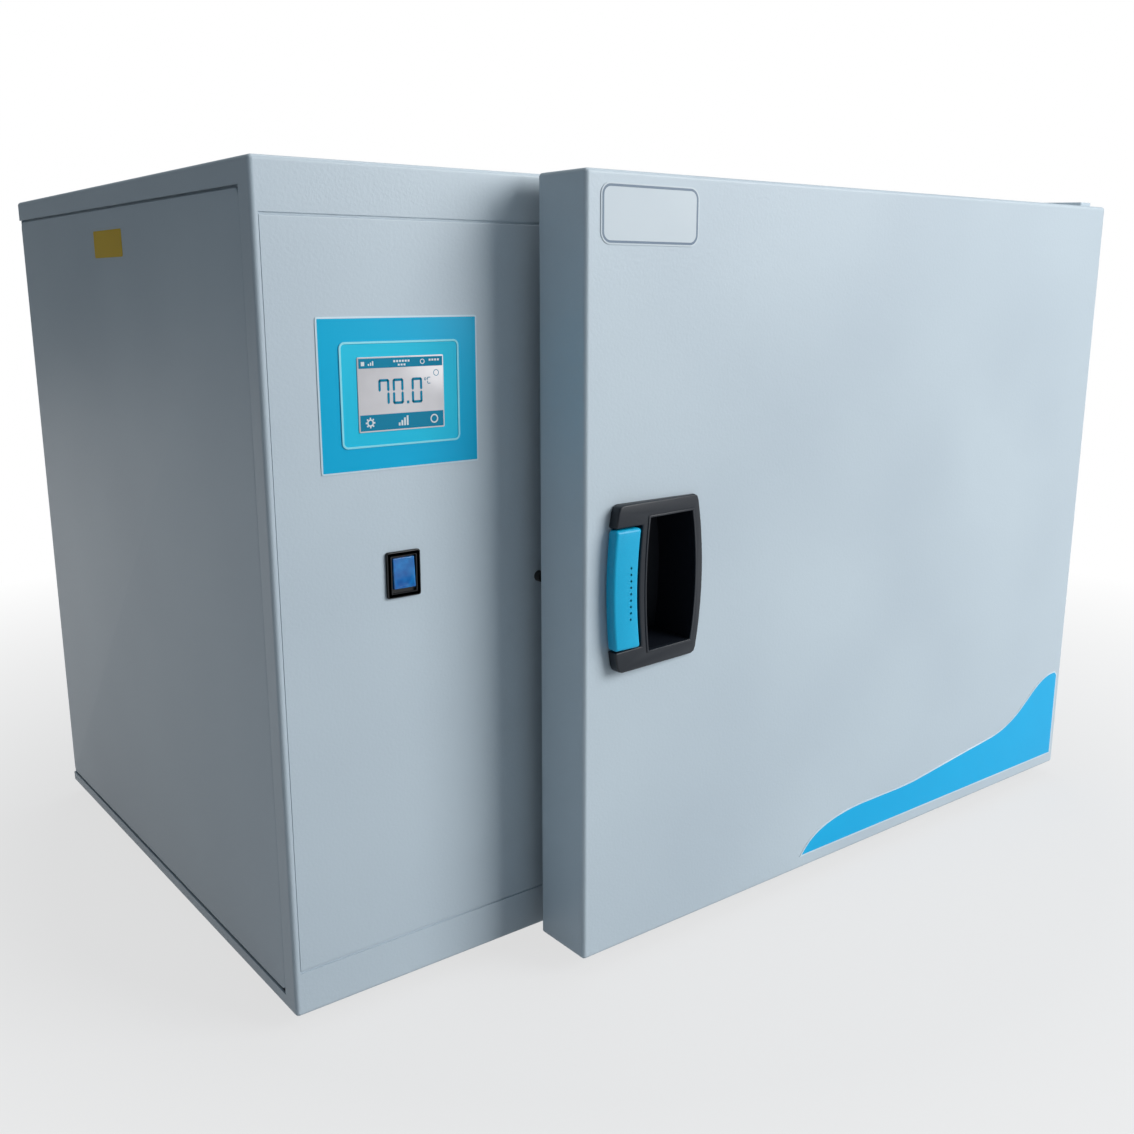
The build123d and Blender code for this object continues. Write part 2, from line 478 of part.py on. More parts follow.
def heating_element():
    """Sheathed rod bent round the fan, with two legs through the chamber's back."""
    y = CHAMBER_D + PLENUM_D / 2
    arc = CenterArc((0, 0), ELEMENT_R, ELEMENT_START, ELEMENT_SWEEP)
    ring_path = Pos(CHAMBER_X, y, CHAMBER_Z) * Rot(90, 0, 0) * arc
    section = Plane(ring_path @ 0, z_dir=ring_path % 0) * Circle(ELEMENT_ROD)
    ring = sweep(section, path=ring_path)
    for angle in (ELEMENT_START, ELEMENT_START + ELEMENT_SWEEP):
        x = CHAMBER_X + ELEMENT_R * cos(radians(angle))
        z = CHAMBER_Z + ELEMENT_R * sin(radians(angle))
        ring += Pos(x, y, z) * Sphere(ELEMENT_ROD + 0.5)
        ring += rod(x, (y, REAR_WALL_Y + 14), z, ELEMENT_ROD)
    return ring


def temperature_probe():
    tip, back = CHAMBER_D - 60, REAR_WALL_Y + 12
    probe = rod(PROBE_X, (tip, back), PROBE_Z, PROBE_R)
    collar = rod(PROBE_X, (REAR_WALL_Y + SHEET, REAR_WALL_Y + SHEET + 8), PROBE_Z, 6)
    return probe + collar


def access_port():
    tube = rod(PORT_X, (CHAMBER_D - 4, OVERALL_BACK), PORT_Z, PORT_R + PORT_WALL)
    tube += rod(PORT_X, (CASE_D - SHEET - CLEAR, CASE_D + 2), PORT_Z, PORT_R + PORT_WALL + PORT_FLANGE)
    return tube - rod(PORT_X, (CHAMBER_D - 5, OVERALL_BACK + 1), PORT_Z, PORT_R)


def shelf_rack(side):
    """Runner plate hung on the chamber's side wall: five ledges on a slotted sheet."""
    y = (SHELF_FRONT - 6, SHELF_FRONT + SHELF_D + 8)
    z = (CHAMBER_BOTTOM + 20, CHAMBER_TOP - 40)
    wall = CHAMBER_LEFT + CLEAR
    rack = block((wall, wall + RACK_T), y, z)
    for level in range(SHELF_LEVELS):
        top = CHAMBER_BOTTOM + SHELF_FIRST + level * SHELF_PITCH
        rack += block((wall, wall + RAIL_OUT), y, (top - RAIL_T, top))
        slot = block((wall - 1, wall + RACK_T + 1), (y[0] + 40, y[1] - 40), (top + 18, top + 42))
        rack -= slot
    if side == "left":
        return rack
    return (Pos(-CHAMBER_X, 0, 0) * rack).mirror(Plane.YZ).moved(Pos(CHAMBER_X, 0, 0))


def rack_sheets(side):
    """A shelf rack as its plate and its ledges."""
    edge = CLEAR + RACK_T
    if side == "left":
        plate_x = (0, CHAMBER_LEFT + edge)
    else:
        plate_x = (CHAMBER_RIGHT - edge, CASE_W)
    return welded(shelf_rack(side), [block(plate_x, (0, CASE_D), (0, CASE_H))])


def wire_shelf(level):
    """Welded wire shelf: a rod frame with thin wires front to back, resting on one pair of runners."""
    z = CHAMBER_BOTTOM + SHELF_FIRST + level * SHELF_PITCH + SHELF_ROD + CLEAR
    x0, x1 = CHAMBER_X - SHELF_W / 2 + SHELF_ROD, CHAMBER_X + SHELF_W / 2 - SHELF_ROD
    y0, y1 = SHELF_FRONT + SHELF_ROD, SHELF_FRONT + SHELF_D - SHELF_ROD
    outline = Pos((x0 + x1) / 2, (y0 + y1) / 2, z) * RectangleRounded(x1 - x0, y1 - y0, 12)
    path = outline.face().outer_wire()
    section = Plane(path @ 0, z_dir=path % 0) * Circle(SHELF_ROD)
    shelf = sweep(section, path=path, transition=Transition.RIGHT)
    shelf += rod((x0, x1), (y0 + y1) / 2, z, SHELF_ROD, "x")
    pitch = (x1 - x0) / (SHELF_WIRES + 1)
    for i in range(SHELF_WIRES):
        shelf += rod(x0 + (i + 1) * pitch, (y0, y1), z + SHELF_ROD, SHELF_WIRE)
    return shelf


# ---------------------------------------------------------------- controls
def control_panel():
    x = (CONTROL_LEFT + CONTROL_GAP_LEFT, CONTROL_RIGHT - CONTROL_GAP_RIGHT)
    z = (RAIL_H + CONTROL_SEAM, CASE_H - RAIL_H - CONTROL_SEAM)
    panel = block(x, (0, CONTROL_FLANGE + SHEET), z)
    panel = fillet(panel.faces().sort_by(Axis.Y)[0].edges().filter_by(Axis.X), 1.2)
    panel -= block((x[0] + SHEET, x[1] - SHEET), (SHEET, 40), (z[0] + SHEET, z[1] - SHEET))
    panel -= plate(OVERLAY_X, OVERLAY_Z, BEZEL_W - 8, BEZEL_H - 8, (-1, 5), 2)
    return panel - plate(SWITCH_X, SWITCH_Z, SWITCH_CUT_W, SWITCH_CUT_H, (-1, 5), 1)


def display_parts():
    overlay = plate(OVERLAY_X, OVERLAY_Z, OVERLAY_W, OVERLAY_H, (-OVERLAY_T, 0), 1)
    overlay -= plate(OVERLAY_X, OVERLAY_Z, BEZEL_W + 0.4, BEZEL_H + 0.4, (-2, 1), BEZEL_R + 0.2)
    bezel = plate(OVERLAY_X, OVERLAY_Z, BEZEL_W, BEZEL_H, (-BEZEL_PROUD, 0), BEZEL_R)
    bezel = fillet(bezel.faces().sort_by(Axis.Y)[0].edges(), 1)
    bezel -= plate(OVERLAY_X, OVERLAY_Z, SCREEN_W + 1, SCREEN_H + 1, (-3, 1), 1)
    screen = plate(OVERLAY_X, OVERLAY_Z, SCREEN_W + 0.6, SCREEN_H + 0.6, (-1.2, 0.6), 0.8)
    module = plate(OVERLAY_X, OVERLAY_Z, BEZEL_W - 9, BEZEL_H - 9, (0.6 + CLEAR, 6), 1.6)
    module += plate(OVERLAY_X, OVERLAY_Z, BEZEL_W + 8, BEZEL_H + 8, (SHEET + CLEAR, 30), 3)
    return overlay, bezel, screen, module


def switch_parts():
    body = plate(SWITCH_X, SWITCH_Z, SWITCH_W, SWITCH_H, (-2.2, 0), 1.6)
    body = fillet(body.faces().sort_by(Axis.Y)[0].edges(), 0.8)
    body += plate(SWITCH_X, SWITCH_Z, SWITCH_CUT_W - 0.6, SWITCH_CUT_H - 0.6, (-0.5, 26), 1)
    body -= block((SWITCH_X - 9.2, SWITCH_X + 9.2), (-5, 11), (SWITCH_Z - 12.6, SWITCH_Z + 12.6))
    body += rod((SWITCH_X - 9.4, SWITCH_X + 9.4), ROCKER_PIVOT_Y, SWITCH_Z, ROCKER_PIN_R, "x")
    corners = [(-11.4, 5.0), (0, 6.2), (11.4, 5.0), (10, -1), (3.5, -5), (-3.5, -5), (-10, -1)]
    upright = Plane(origin=(0, 0, 0), x_dir=(0, 0, 1), z_dir=(1, 0, 0))
    key = extrude(upright * make_face(Polyline(*corners, close=True)), amount=8.8, both=True)
    key -= Rot(0, 90, 0) * Cylinder(ROCKER_PIN_R + 0.05, 30)
    key = Pos(SWITCH_X, ROCKER_PIVOT_Y, SWITCH_Z) * Rot(-ROCKER_TILT, 0, 0) * key
    return body, key


def door_bumper():
    """Rubber stop on the control panel, just behind the door's free edge."""
    return rod(DOOR_LEFT + BUMPER_IN, (-BUMPER_T, 0), HANDLE_Z, BUMPER_R)


def circuit_board():
    """Power board on its pillars, with its larger components as plain blocks in two rows."""
    face = BULKHEAD_X - BOARD_STANDOFF - BOARD_T
    board = block((face, face + BOARD_T), BOARD_Y, BOARD_Z)
    for y0, y1, high in ((150, 190, 22), (200, 230, 16), (240, 290, 28)):
        board += block((face - high, face + 1), (y0, y1), (190, 240))
        board += block((face - high * 0.6, face + 1), (y0, y1 - 8), (265, 300))
    return board


def board_pillars():
    ys = (BOARD_Y[0] + PILLAR_INSET, BOARD_Y[1] - PILLAR_INSET)
    zs = (BOARD_Z[0] + PILLAR_INSET, BOARD_Z[1] - PILLAR_INSET)
    return [rod((BULKHEAD_X - BOARD_STANDOFF, BULKHEAD_X), y, z, PILLAR_R, "x") for y in ys for z in zs]


def heat_sink():
    sink = block((BULKHEAD_X - SINK_BASE, BULKHEAD_X), SINK_Y, SINK_Z)
    for i in range(SINK_FINS):
        z = SINK_Z[0] + 2 + i * SINK_PITCH
        sink += block((BULKHEAD_X - SINK_OUT, BULKHEAD_X - SINK_BASE + 1), SINK_Y, (z, z + SINK_FIN_T))
    return sink


def relay():
    """Solid-state relay on the tips of the heat sink's fins."""
    near = BULKHEAD_X - SINK_OUT
    return block((near - RELAY_T, near - CLEAR), RELAY_Y, RELAY_Z)


def terminal_strip():
    """Mounting rail and the terminals on it, each one its own solid."""
    rail = block((BULKHEAD_X - STRIP_T, BULKHEAD_X), STRIP_Y, STRIP_Z)
    x = (BULKHEAD_X - TERMINAL_OUT, BULKHEAD_X - STRIP_T)
    z = (STRIP_Z[0] - TERMINAL_OVER, STRIP_Z[1] + TERMINAL_OVER)
    starts = [STRIP_Y[0] + 6 + i * TERMINAL_PITCH for i in range(TERMINALS)]
    return [rail] + [block(x, (start, start + TERMINAL_W), z) for start in starts]


def overheat_cutout():
    """Capillary cut-out with its reset button."""
    can = rod((BULKHEAD_X - CUTOUT_OUT, BULKHEAD_X), CUTOUT_Y, CUTOUT_Z, CUTOUT_R, "x")
    return can + rod((BULKHEAD_X - CUTOUT_OUT - 6, BULKHEAD_X - CUTOUT_OUT + 1), CUTOUT_Y, CUTOUT_Z, 5, "x")


def mains_inlet():
    """Appliance inlet through the rear panel, with its flange outside."""
    x, z = (INLET_X - INLET_W / 2, INLET_X + INLET_W / 2), (INLET_Z - INLET_H / 2, INLET_Z + INLET_H / 2)
    inlet = block(x, (CASE_D - INLET_D, CASE_D - 1), z)
    flange_y = (CASE_D - SHEET - CLEAR, CASE_D + 2)
    inlet += plate(INLET_X, INLET_Z, INLET_FLANGE_W, INLET_FLANGE_H, flange_y, 3)
    socket_y = (CASE_D - INLET_SOCKET_D, CASE_D + 3)
    return inlet - block((INLET_X - 12, INLET_X + 12), socket_y, (INLET_Z - 20, INLET_Z - 3))


def inlet_pins():
    pins = []
    for dx, dz in ((-7, -13.5), (7, -13.5), (0, -9.5)):
        x, z = INLET_X + dx, INLET_Z + dz
        pins.append(block((x - 1, x + 1), (CASE_D - INLET_SOCKET_D, CASE_D - 2), (z - 2, z + 2)))
    return pins


# ---------------------------------------------------------------- hinges
def hinge_plate_left():
    return HINGE_X - HINGE_PLATE_REACH


def hinge_screw_places():
    left, right = hinge_plate_left() + 13, HINGE_X - 2
    return [(x, HINGE_ON_CASE - HINGE_SCREW_IN) for x in (left, (left + right) / 2, right)]


def hinge_plate(place):
    """Flat plate on the case that reaches over the door, with a slanted inner edge."""
    right, left = HINGE_X + HINGE_INSET, hinge_plate_left()
    front = HINGE_Y - 14
    corners = [(right, HINGE_ON_CASE), (left, HINGE_ON_CASE), (left, 6), (HINGE_X - 12, front),
               (right - 8, front), (right, front + 8)]
    low = CASE_H if place == "top" else -HINGE_PLATE_T
    leaf = extrude(Pos(0, 0, low) * make_face(Polyline(*corners, close=True)), amount=HINGE_PLATE_T)
    leaf = fillet(leaf.edges().filter_by(Axis.Z), 3)
    leaf -= rod(HINGE_X, HINGE_Y, (low - 1, low + HINGE_PLATE_T + 1), HINGE_PIN_R, "z")
    for x, y in hinge_screw_places():
        leaf -= rod(x, y, (low - 1, low + HINGE_PLATE_T + 1), SCREW_R + 0.1, "z")
        leaf -= sunk_head(x, y, place, 0.05)
    return leaf


def sunk_head(x, y, place, grow=0.0):
    """Conical screw head, flush with a hinge plate's outer face."""
    if place == "top":
        middle = CASE_H + HINGE_PLATE_T - SUNK_HEAD_H / 2
        return Pos(x, y, middle) * Cone(SCREW_R + grow, SUNK_HEAD_R + grow, SUNK_HEAD_H)
    return Pos(x, y, SUNK_HEAD_H / 2 - HINGE_PLATE_T) * Cone(SUNK_HEAD_R + grow, SCREW_R + grow, SUNK_HEAD_H)


def hinge_screws():
    screws = []
    for x, y in hinge_screw_places():
        screws.append(sunk_head(x, y, "top") + rod(x, y, (CASE_H - 9, CASE_H + 1.2), SCREW_R, "z"))
        screws.append(sunk_head(x, y, "bottom") + rod(x, y, (-1.2, 9), SCREW_R, "z"))
    return screws


def hinge_pins():
    top = rod(HINGE_X, HINGE_Y, (DOOR_TOP - HINGE_REACH, CASE_H + HINGE_PLATE_T), HINGE_PIN_R, "z")
    bottom = rod(HINGE_X, HINGE_Y, (-HINGE_PLATE_T, DOOR_BOTTOM + HINGE_REACH), HINGE_PIN_R, "z")
    return [top, bottom]


def bush_ends():
    """For the door's two ends: z of its face, and which way is out of the door."""
    return ((DOOR_TOP, 1), (DOOR_BOTTOM, -1))


def hinge_bushes():
    bushes = []
    for face, out in bush_ends():
        deep = face - out * (SHEET + HINGE_BLOCK_H)
        lip = face + out * (DOOR_END_GAP - CLEAR)
        bush = rod(HINGE_X, HINGE_Y, sorted((deep, lip)), BUSH_R, "z")
        bush += rod(HINGE_X, HINGE_Y, sorted((face, lip)), BUSH_R + 3, "z")
        bushes.append(bush - rod(HINGE_X, HINGE_Y, (-20, CASE_H + 20), HINGE_PIN_R + HINGE_RUN, "z"))
    return bushes


def hinge_block_box(grow=0.0):
    x = (HINGE_X - HINGE_BLOCK - grow, DOOR_RIGHT - SHEET)
    y = (HINGE_Y - HINGE_BLOCK - grow, HINGE_Y + HINGE_BLOCK + grow)
    boxes = []
    for face, out in bush_ends():
        z = sorted((face - out * SHEET, face - out * (SHEET + HINGE_BLOCK_H + grow)))
        boxes.append(block(x, y, z))
    return boxes


def hinge_blocks():
    bore = rod(HINGE_X, HINGE_Y, (-20, CASE_H + 20), BUSH_R, "z")
    return [box - bore for box in hinge_block_box()]


# ---------------------------------------------------------------- door
def handle_cut(y):
    """The hole that the handle's body needs in the door's skin and filling."""
    half_w, half_h = HANDLE_END_W / 2 - 2 + CLEAR, HANDLE_H / 2 - 4 + CLEAR
    return block((HANDLE_X - half_w, HANDLE_X + half_w), y, (HANDLE_Z - half_h, HANDLE_Z + half_h))


def tongue_cut(y, margin):
    x = (LEVER_PIN_X - TONGUE_T / 2 - 5 - margin, LEVER_PIN_X + TONGUE_T / 2 + HOOK + margin)
    z = (HANDLE_Z - TONGUE_H / 2 - 1 - margin, HANDLE_Z + TONGUE_H / 2 + 1 + margin)
    return block(x, y, z)


def door_skin():
    skin = tray((DOOR_LEFT, DOOR_RIGHT), (DOOR_FRONT, DOOR_BACK), (DOOR_BOTTOM, DOOR_TOP), SHEET, BEND)
    skin -= handle_cut((DOOR_FRONT - 1, DOOR_FRONT + SHEET + 1))
    return skin - rod(HINGE_X, HINGE_Y, (-20, CASE_H + 20), BUSH_R, "z")


def door_inner_panel():
    inset = SHEET + CLEAR
    x, z = (DOOR_LEFT + inset, DOOR_RIGHT - inset), (DOOR_BOTTOM + inset, DOOR_TOP - inset)
    panel = block(x, (DOOR_BACK - LINER, DOOR_BACK), z)
    panel += chamber_prism(-PLUG_GAP, (DOOR_BACK - LINER, PLUG_DEPTH))
    panel -= chamber_prism(-PLUG_GAP - LINER, (DOOR_BACK - LINER - 1, PLUG_DEPTH - LINER))
    return panel - tongue_cut((DOOR_BACK - 5, DOOR_BACK + 1), 0)


def door_filling():
    inset = SHEET + CLEAR
    x, z = (DOOR_LEFT + inset, DOOR_RIGHT - inset), (DOOR_BOTTOM + inset, DOOR_TOP - inset)
    wool = block(x, (DOOR_FRONT + SHEET + CLEAR, DOOR_BACK - LINER - CLEAR), z)
    wool += chamber_prism(-PLUG_GAP - LINER - CLEAR, (DOOR_BACK - 10, PLUG_DEPTH - LINER - CLEAR))
    wool -= handle_cut((DOOR_FRONT - 1, DOOR_FRONT + HANDLE_DEPTH + 1))
    wool -= tongue_cut((DOOR_FRONT + HANDLE_DEPTH, DOOR_BACK), 3)
    return wool - hinge_block_box(CLEAR)


def door_seal():
    """Silicone ring on the door that meets the chamber's flange."""
    grow_in, grow_out = 6.0, 18.0
    y = (DOOR_BACK, -LINER - CLEAR)
    ring = chamber_prism(grow_out, y) - chamber_prism(grow_in, (y[0] - 1, y[1] + 1))
    return fillet(ring.faces().sort_by(Axis.Y)[-1].edges(), 2.5)


def handle_housing():
    """Black moulding: bowed flange on the door's face, finger pocket and a slot for the lever."""
    front = DOOR_FRONT - HANDLE_PROUD
    flange = handle_prism((front, DOOR_FRONT)) - handle_slope()
    flange = fillet(flange.faces().sort_by(Axis.Y)[0].edges(), 1.6)
    half_w, half_h = HANDLE_END_W / 2 - 2, HANDLE_H / 2 - 4
    deep = DOOR_FRONT + HANDLE_DEPTH
    body = block((HANDLE_X - half_w, HANDLE_X + half_w), (DOOR_FRONT - 2, deep),
                 (HANDLE_Z - half_h, HANDLE_Z + half_h))
    housing = flange + body
    pocket = plate(POCKET_X, HANDLE_Z, POCKET_W, POCKET_H, (front - 1, DOOR_FRONT + POCKET_D), POCKET_R)
    housing -= pocket
    return housing - lever_room()


def handle_slope():
    """What is cut from the flange so that it falls away from the lever's side to the other."""
    left, right = HANDLE_X - HANDLE_W / 2, HANDLE_X + HANDLE_W / 2
    high, low = DOOR_FRONT - HANDLE_PROUD, DOOR_FRONT - HANDLE_PROUD_RIGHT
    corners = [(left, high), (right, low), (right + 1, low), (right + 1, high - 1), (left, high - 1)]
    wedge = make_face(Polyline(*corners, close=True))
    return extrude(Pos(0, 0, HANDLE_Z - HANDLE_H) * wedge, amount=2 * HANDLE_H)


def lever_room():
    """Space that the lever and its tongue sweep inside the housing."""
    half = LEVER_H / 2 + LEVER_END_GAP
    left = HANDLE_X - HANDLE_W / 2 - 1
    right = POCKET_X - POCKET_W / 2 - LEVER_WALL
    tall = (HANDLE_Z - half, HANDLE_Z + half)
    front = block((left, right), (DOOR_FRONT - LEVER_PROUD - 1, DOOR_FRONT - CLEAR), tall)
    inner_left = HANDLE_X - HANDLE_END_W / 2 + 2 + 1.6
    deep = (DOOR_FRONT - 1, DOOR_FRONT + HANDLE_DEPTH - 3)
    inner = block((inner_left, right), deep, (HANDLE_Z - half, HANDLE_Z + half))
    through = tongue_cut((DOOR_FRONT, DOOR_FRONT + HANDLE_DEPTH + 1), 0)
    pin_z = (HANDLE_Z - half - LEVER_PIN_END, HANDLE_Z + half + LEVER_PIN_END)
    pin = rod(LEVER_PIN_X, LEVER_Y, pin_z, LEVER_PIN_R, "z")
    return front + inner + through + pin


def handle_lever():
    """Coloured squeeze lever: the bowed side of the handle, with a stem to its pivot pin."""
    half = LEVER_H / 2
    front = DOOR_FRONT - LEVER_PROUD
    right = POCKET_X - POCKET_W / 2 - LEVER_WALL - LEVER_GAP
    grip = handle_prism((front, DOOR_FRONT - 1.0), 1.5)
    tall = (HANDLE_Z - half, HANDLE_Z + half)
    grip &= block((HANDLE_X - 60, right), (front - 1, DOOR_FRONT), tall)
    grip = fillet(grip.faces().sort_by(Axis.Y)[0].edges(), 2.0)
    stem = block((LEVER_PIN_X - 2.5, LEVER_PIN_X + 1.5), (DOOR_FRONT - 2, LEVER_Y), tall)
    barrel = rod(LEVER_PIN_X, LEVER_Y, tall, LEVER_PIN_R + 2, "z")
    lever = grip + stem + barrel
    middle = (HANDLE_Z - 13, HANDLE_Z + 13)
    lever -= block((LEVER_PIN_X - 8, LEVER_PIN_X + 8), (LEVER_Y - 8, LEVER_Y + 8), middle)
    return lever - rod(LEVER_PIN_X, LEVER_Y, (tall[0] - 1, tall[1] + 1), LEVER_PIN_R + 0.05, "z")


def lever_pin():
    half = LEVER_H / 2 + LEVER_END_GAP + LEVER_PIN_END
    return rod(LEVER_PIN_X, LEVER_Y, (HANDLE_Z - half, HANDLE_Z + half), LEVER_PIN_R - 0.01, "z")


def latch_tongue():
    """Steel tongue clamped to the lever's barrel; its hook sits beside the keeper's edge."""
    z = (HANDLE_Z - TONGUE_H / 2, HANDLE_Z + TONGUE_H / 2)
    eye = rod(LEVER_PIN_X, LEVER_Y, (HANDLE_Z - 12.8, HANDLE_Z + 12.8), LEVER_PIN_R + 2.2, "z")
    strip = block((LEVER_PIN_X - TONGUE_T / 2, LEVER_PIN_X + TONGUE_T / 2), (LEVER_Y, TONGUE_REACH), z)
    hook = block((LEVER_PIN_X, LEVER_PIN_X + TONGUE_T / 2 + HOOK), (TONGUE_REACH - 3.5, TONGUE_REACH), z)
    tongue = eye + strip + hook
    return tongue - rod(LEVER_PIN_X, LEVER_Y, (HANDLE_Z - 20, HANDLE_Z + 20), LEVER_PIN_R + 0.05, "z")


def keeper():
    """Steel plate behind the front sheet, slotted for the tongue."""
    z = (HANDLE_Z - KEEPER_HALF_H, HANDLE_Z + KEEPER_HALF_H)
    body = block((BULKHEAD_X + SHEET + CLEAR, KEEPER_RIGHT), (SHEET, SHEET + KEEPER_T), z)
    return body - keeper_slot((0, 10))


def door_badge():
    """Blank name plate, top left of the door."""
    x, z = DOOR_LEFT + BADGE_FROM_LEFT, DOOR_TOP - BADGE_FROM_TOP
    return plate(x, z, BADGE_W, BADGE_H, (DOOR_FRONT - BADGE_T, DOOR_FRONT), BADGE_R)


def door_accent():
    """Coloured film in the door's lower right corner, with a swept upper edge."""
    right, low = DOOR_RIGHT - FILM_FROM_RIGHT, DOOR_BOTTOM + FILM_FROM_BOTTOM
    left, corner = right - FILM_L, right - FILM_CORNER
    upper = Spline((left, low), (left + 16, low + 15), (left + 40, low + 24), (left + 133, low + 29),
                   (left + 193, low + 34), (left + 248, low + 41), (left + 290, low + 47),
                   (left + 323, low + 62), (left + 355, low + 84), (corner, low + 90))
    shoulder = low + 90 - FILM_CORNER
    edges = [upper, Line((corner, low + 90), (right, shoulder)),
             Line((right, shoulder), (right, low)), Line((right, low), (left, low))]
    face = Pos(0, DOOR_FRONT, 0) * Rot(90, 0, 0) * make_face(Wire(edges))
    return extrude(face, amount=FILM_T)


def side_sticker():
    """Plain blank sticker high on the left side panel."""
    top = CASE_H - STICKER_FROM_TOP
    y, z = (STICKER_Y, STICKER_Y + STICKER_W), (top - STICKER_H, top)
    return block((PANEL_SINK - STICKER_T, PANEL_SINK), y, z)


# ---------------------------------------------------------------- write every node
def main():
    os.makedirs("parts", exist_ok=True)
    save("outer_case", *case_sheets())
    save("left_side_panel", side_panel("left"))
    save("right_side_panel", side_panel("right"))
    save("side_panel_clips", *panel_clips())
    save("rear_panel", rear_panel())
    save("rear_panel_screws", *rear_screws())
    pads, screws = feet()
    save("rubber_feet", *pads)
    save("foot_screws", *screws)
    save("control_bay_bulkhead", bulkhead())
    save("rear_inner_wall", rear_wall())
    save("hinge_backing_plates", *hinge_backing_plates())
    save("chamber_liner", *liner_sheets())
    save("insulation_jacket", insulation_jacket())
    save("fan_baffle", baffle())
    save("baffle_spacers", *baffle_studs())
    save("fan_impeller", fan_impeller())
    save("fan_shaft", fan_shaft())
    save("fan_motor", fan_motor())
    save("heating_element", heating_element())
    save("temperature_probe", temperature_probe())
    save("access_port_tube", access_port())
    save("shelf_rack_left", *rack_sheets("left"))
    save("shelf_rack_right", *rack_sheets("right"))
    save("lower_shelf", wire_shelf(SHELF_AT[0]))
    save("upper_shelf", wire_shelf(SHELF_AT[1]))
    save("control_panel", control_panel())
    names = ("display_overlay", "display_bezel", "touch_screen", "controller_module")
    for name, piece in zip(names, display_parts()):
        save(name, piece)
    body, key = switch_parts()
    save("power_switch_body", body)
    save("power_switch_rocker", key)
    save("circuit_board", circuit_board())
    save("board_pillars", *board_pillars())
    save("heat_sink", heat_sink())
    save("solid_state_relay", relay())
    save("terminal_strip", *terminal_strip())
    save("overheat_cutout", overheat_cutout())
    save("mains_inlet", mains_inlet())
    save("inlet_pins", *inlet_pins())
    save("top_hinge_plate", hinge_plate("top"))
    save("bottom_hinge_plate", hinge_plate("bottom"))
    save("hinge_pins", *hinge_pins())
    save("hinge_bushes", *hinge_bushes())
    save("hinge_blocks", *hinge_blocks())
    save("hinge_screws", *hinge_screws())
    save("door_bumper", door_bumper())
    save("latch_keeper", keeper())
    save("door_skin", door_skin())
    save("door_inner_panel", door_inner_panel())
    save("door_insulation", door_filling())
    save("door_seal", door_seal())
    save("handle_housing", handle_housing())
    save("handle_lever", handle_lever())
    save("lever_pin", lever_pin())
    save("latch_tongue", latch_tongue())
    save("door_badge", door_badge())
    save("door_accent_film", door_accent())
    save("side_sticker", side_sticker())


main()
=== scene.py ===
"""Finish, lights and camera of a bench-top laboratory incubator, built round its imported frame.

Metres, in the frame's own axes: +X to the right seen from the front, -Y out of the front, +Z up.
"""
from math import cos, pi, radians, sin

import bpy
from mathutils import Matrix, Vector


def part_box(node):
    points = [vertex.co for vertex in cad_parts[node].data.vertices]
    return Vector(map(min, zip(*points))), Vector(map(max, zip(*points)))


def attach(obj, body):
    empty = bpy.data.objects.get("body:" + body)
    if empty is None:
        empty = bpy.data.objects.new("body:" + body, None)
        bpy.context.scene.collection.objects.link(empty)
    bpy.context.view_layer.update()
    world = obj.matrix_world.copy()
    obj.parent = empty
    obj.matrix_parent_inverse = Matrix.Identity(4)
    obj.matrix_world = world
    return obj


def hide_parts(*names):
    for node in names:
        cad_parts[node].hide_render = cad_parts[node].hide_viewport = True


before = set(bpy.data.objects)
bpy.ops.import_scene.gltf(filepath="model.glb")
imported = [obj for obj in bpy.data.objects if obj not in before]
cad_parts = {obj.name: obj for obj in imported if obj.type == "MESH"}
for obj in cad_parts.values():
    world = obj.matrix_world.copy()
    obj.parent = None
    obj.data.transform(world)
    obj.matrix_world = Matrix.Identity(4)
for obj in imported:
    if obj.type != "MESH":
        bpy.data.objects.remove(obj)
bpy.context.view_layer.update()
MM = 0.001


# ---------------------------------------------------------------- colours and nodes
def linear(hex_code, alpha=1.0):
    """An sRGB hex colour as linear red, green, blue and alpha."""
    channels = [int(hex_code[i:i + 2], 16) / 255 for i in (1, 3, 5)]
    return [c / 12.92 if c <= 0.04045 else ((c + 0.055) / 1.055) ** 2.4 for c in channels] + [alpha]


def add(tree, kind, settings=None, links=None):
    """Adds a node. settings are its properties or sockets; links are sockets and what feeds them."""
    made = tree.nodes.new(kind)
    for name, value in (settings or {}).items():
        if isinstance(name, str) and hasattr(made, name):
            setattr(made, name, value)
        else:
            made.inputs[name].default_value = value
    for name, source in (links or {}).items():
        tree.links.new(source, made.inputs[name])
    return made


def new_material(name, base, roughness, **sockets):
    """A material whose shader has these values; returns it with its tree, shader and place."""
    made = bpy.data.materials.new(name)
    made.use_nodes = True
    tree = made.node_tree
    shader = tree.nodes["Principled BSDF"]
    shader.inputs["Base Color"].default_value = linear(base)
    shader.inputs["Roughness"].default_value = roughness
    for socket, value in sockets.items():
        shader.inputs[socket.replace("_", " ")].default_value = value
    place = add(tree, "ShaderNodeTexCoord").outputs["Object"]
    return made, tree, shader, place


def grain(tree, shader, place, size_mm, depth_mm, detail=2.0):
    """Fine relief: lumps of size_mm that stand depth_mm high. Returns the noise."""
    settings = {"Scale": 1 / (size_mm * MM), "Detail": detail}
    noise = add(tree, "ShaderNodeTexNoise", settings, {"Vector": place})
    bump = add(tree, "ShaderNodeBump", {"Strength": 1.0, "Distance": depth_mm * MM},
               {"Height": noise.outputs["Fac"]})
    tree.links.new(bump.outputs["Normal"], shader.inputs["Normal"])
    return noise


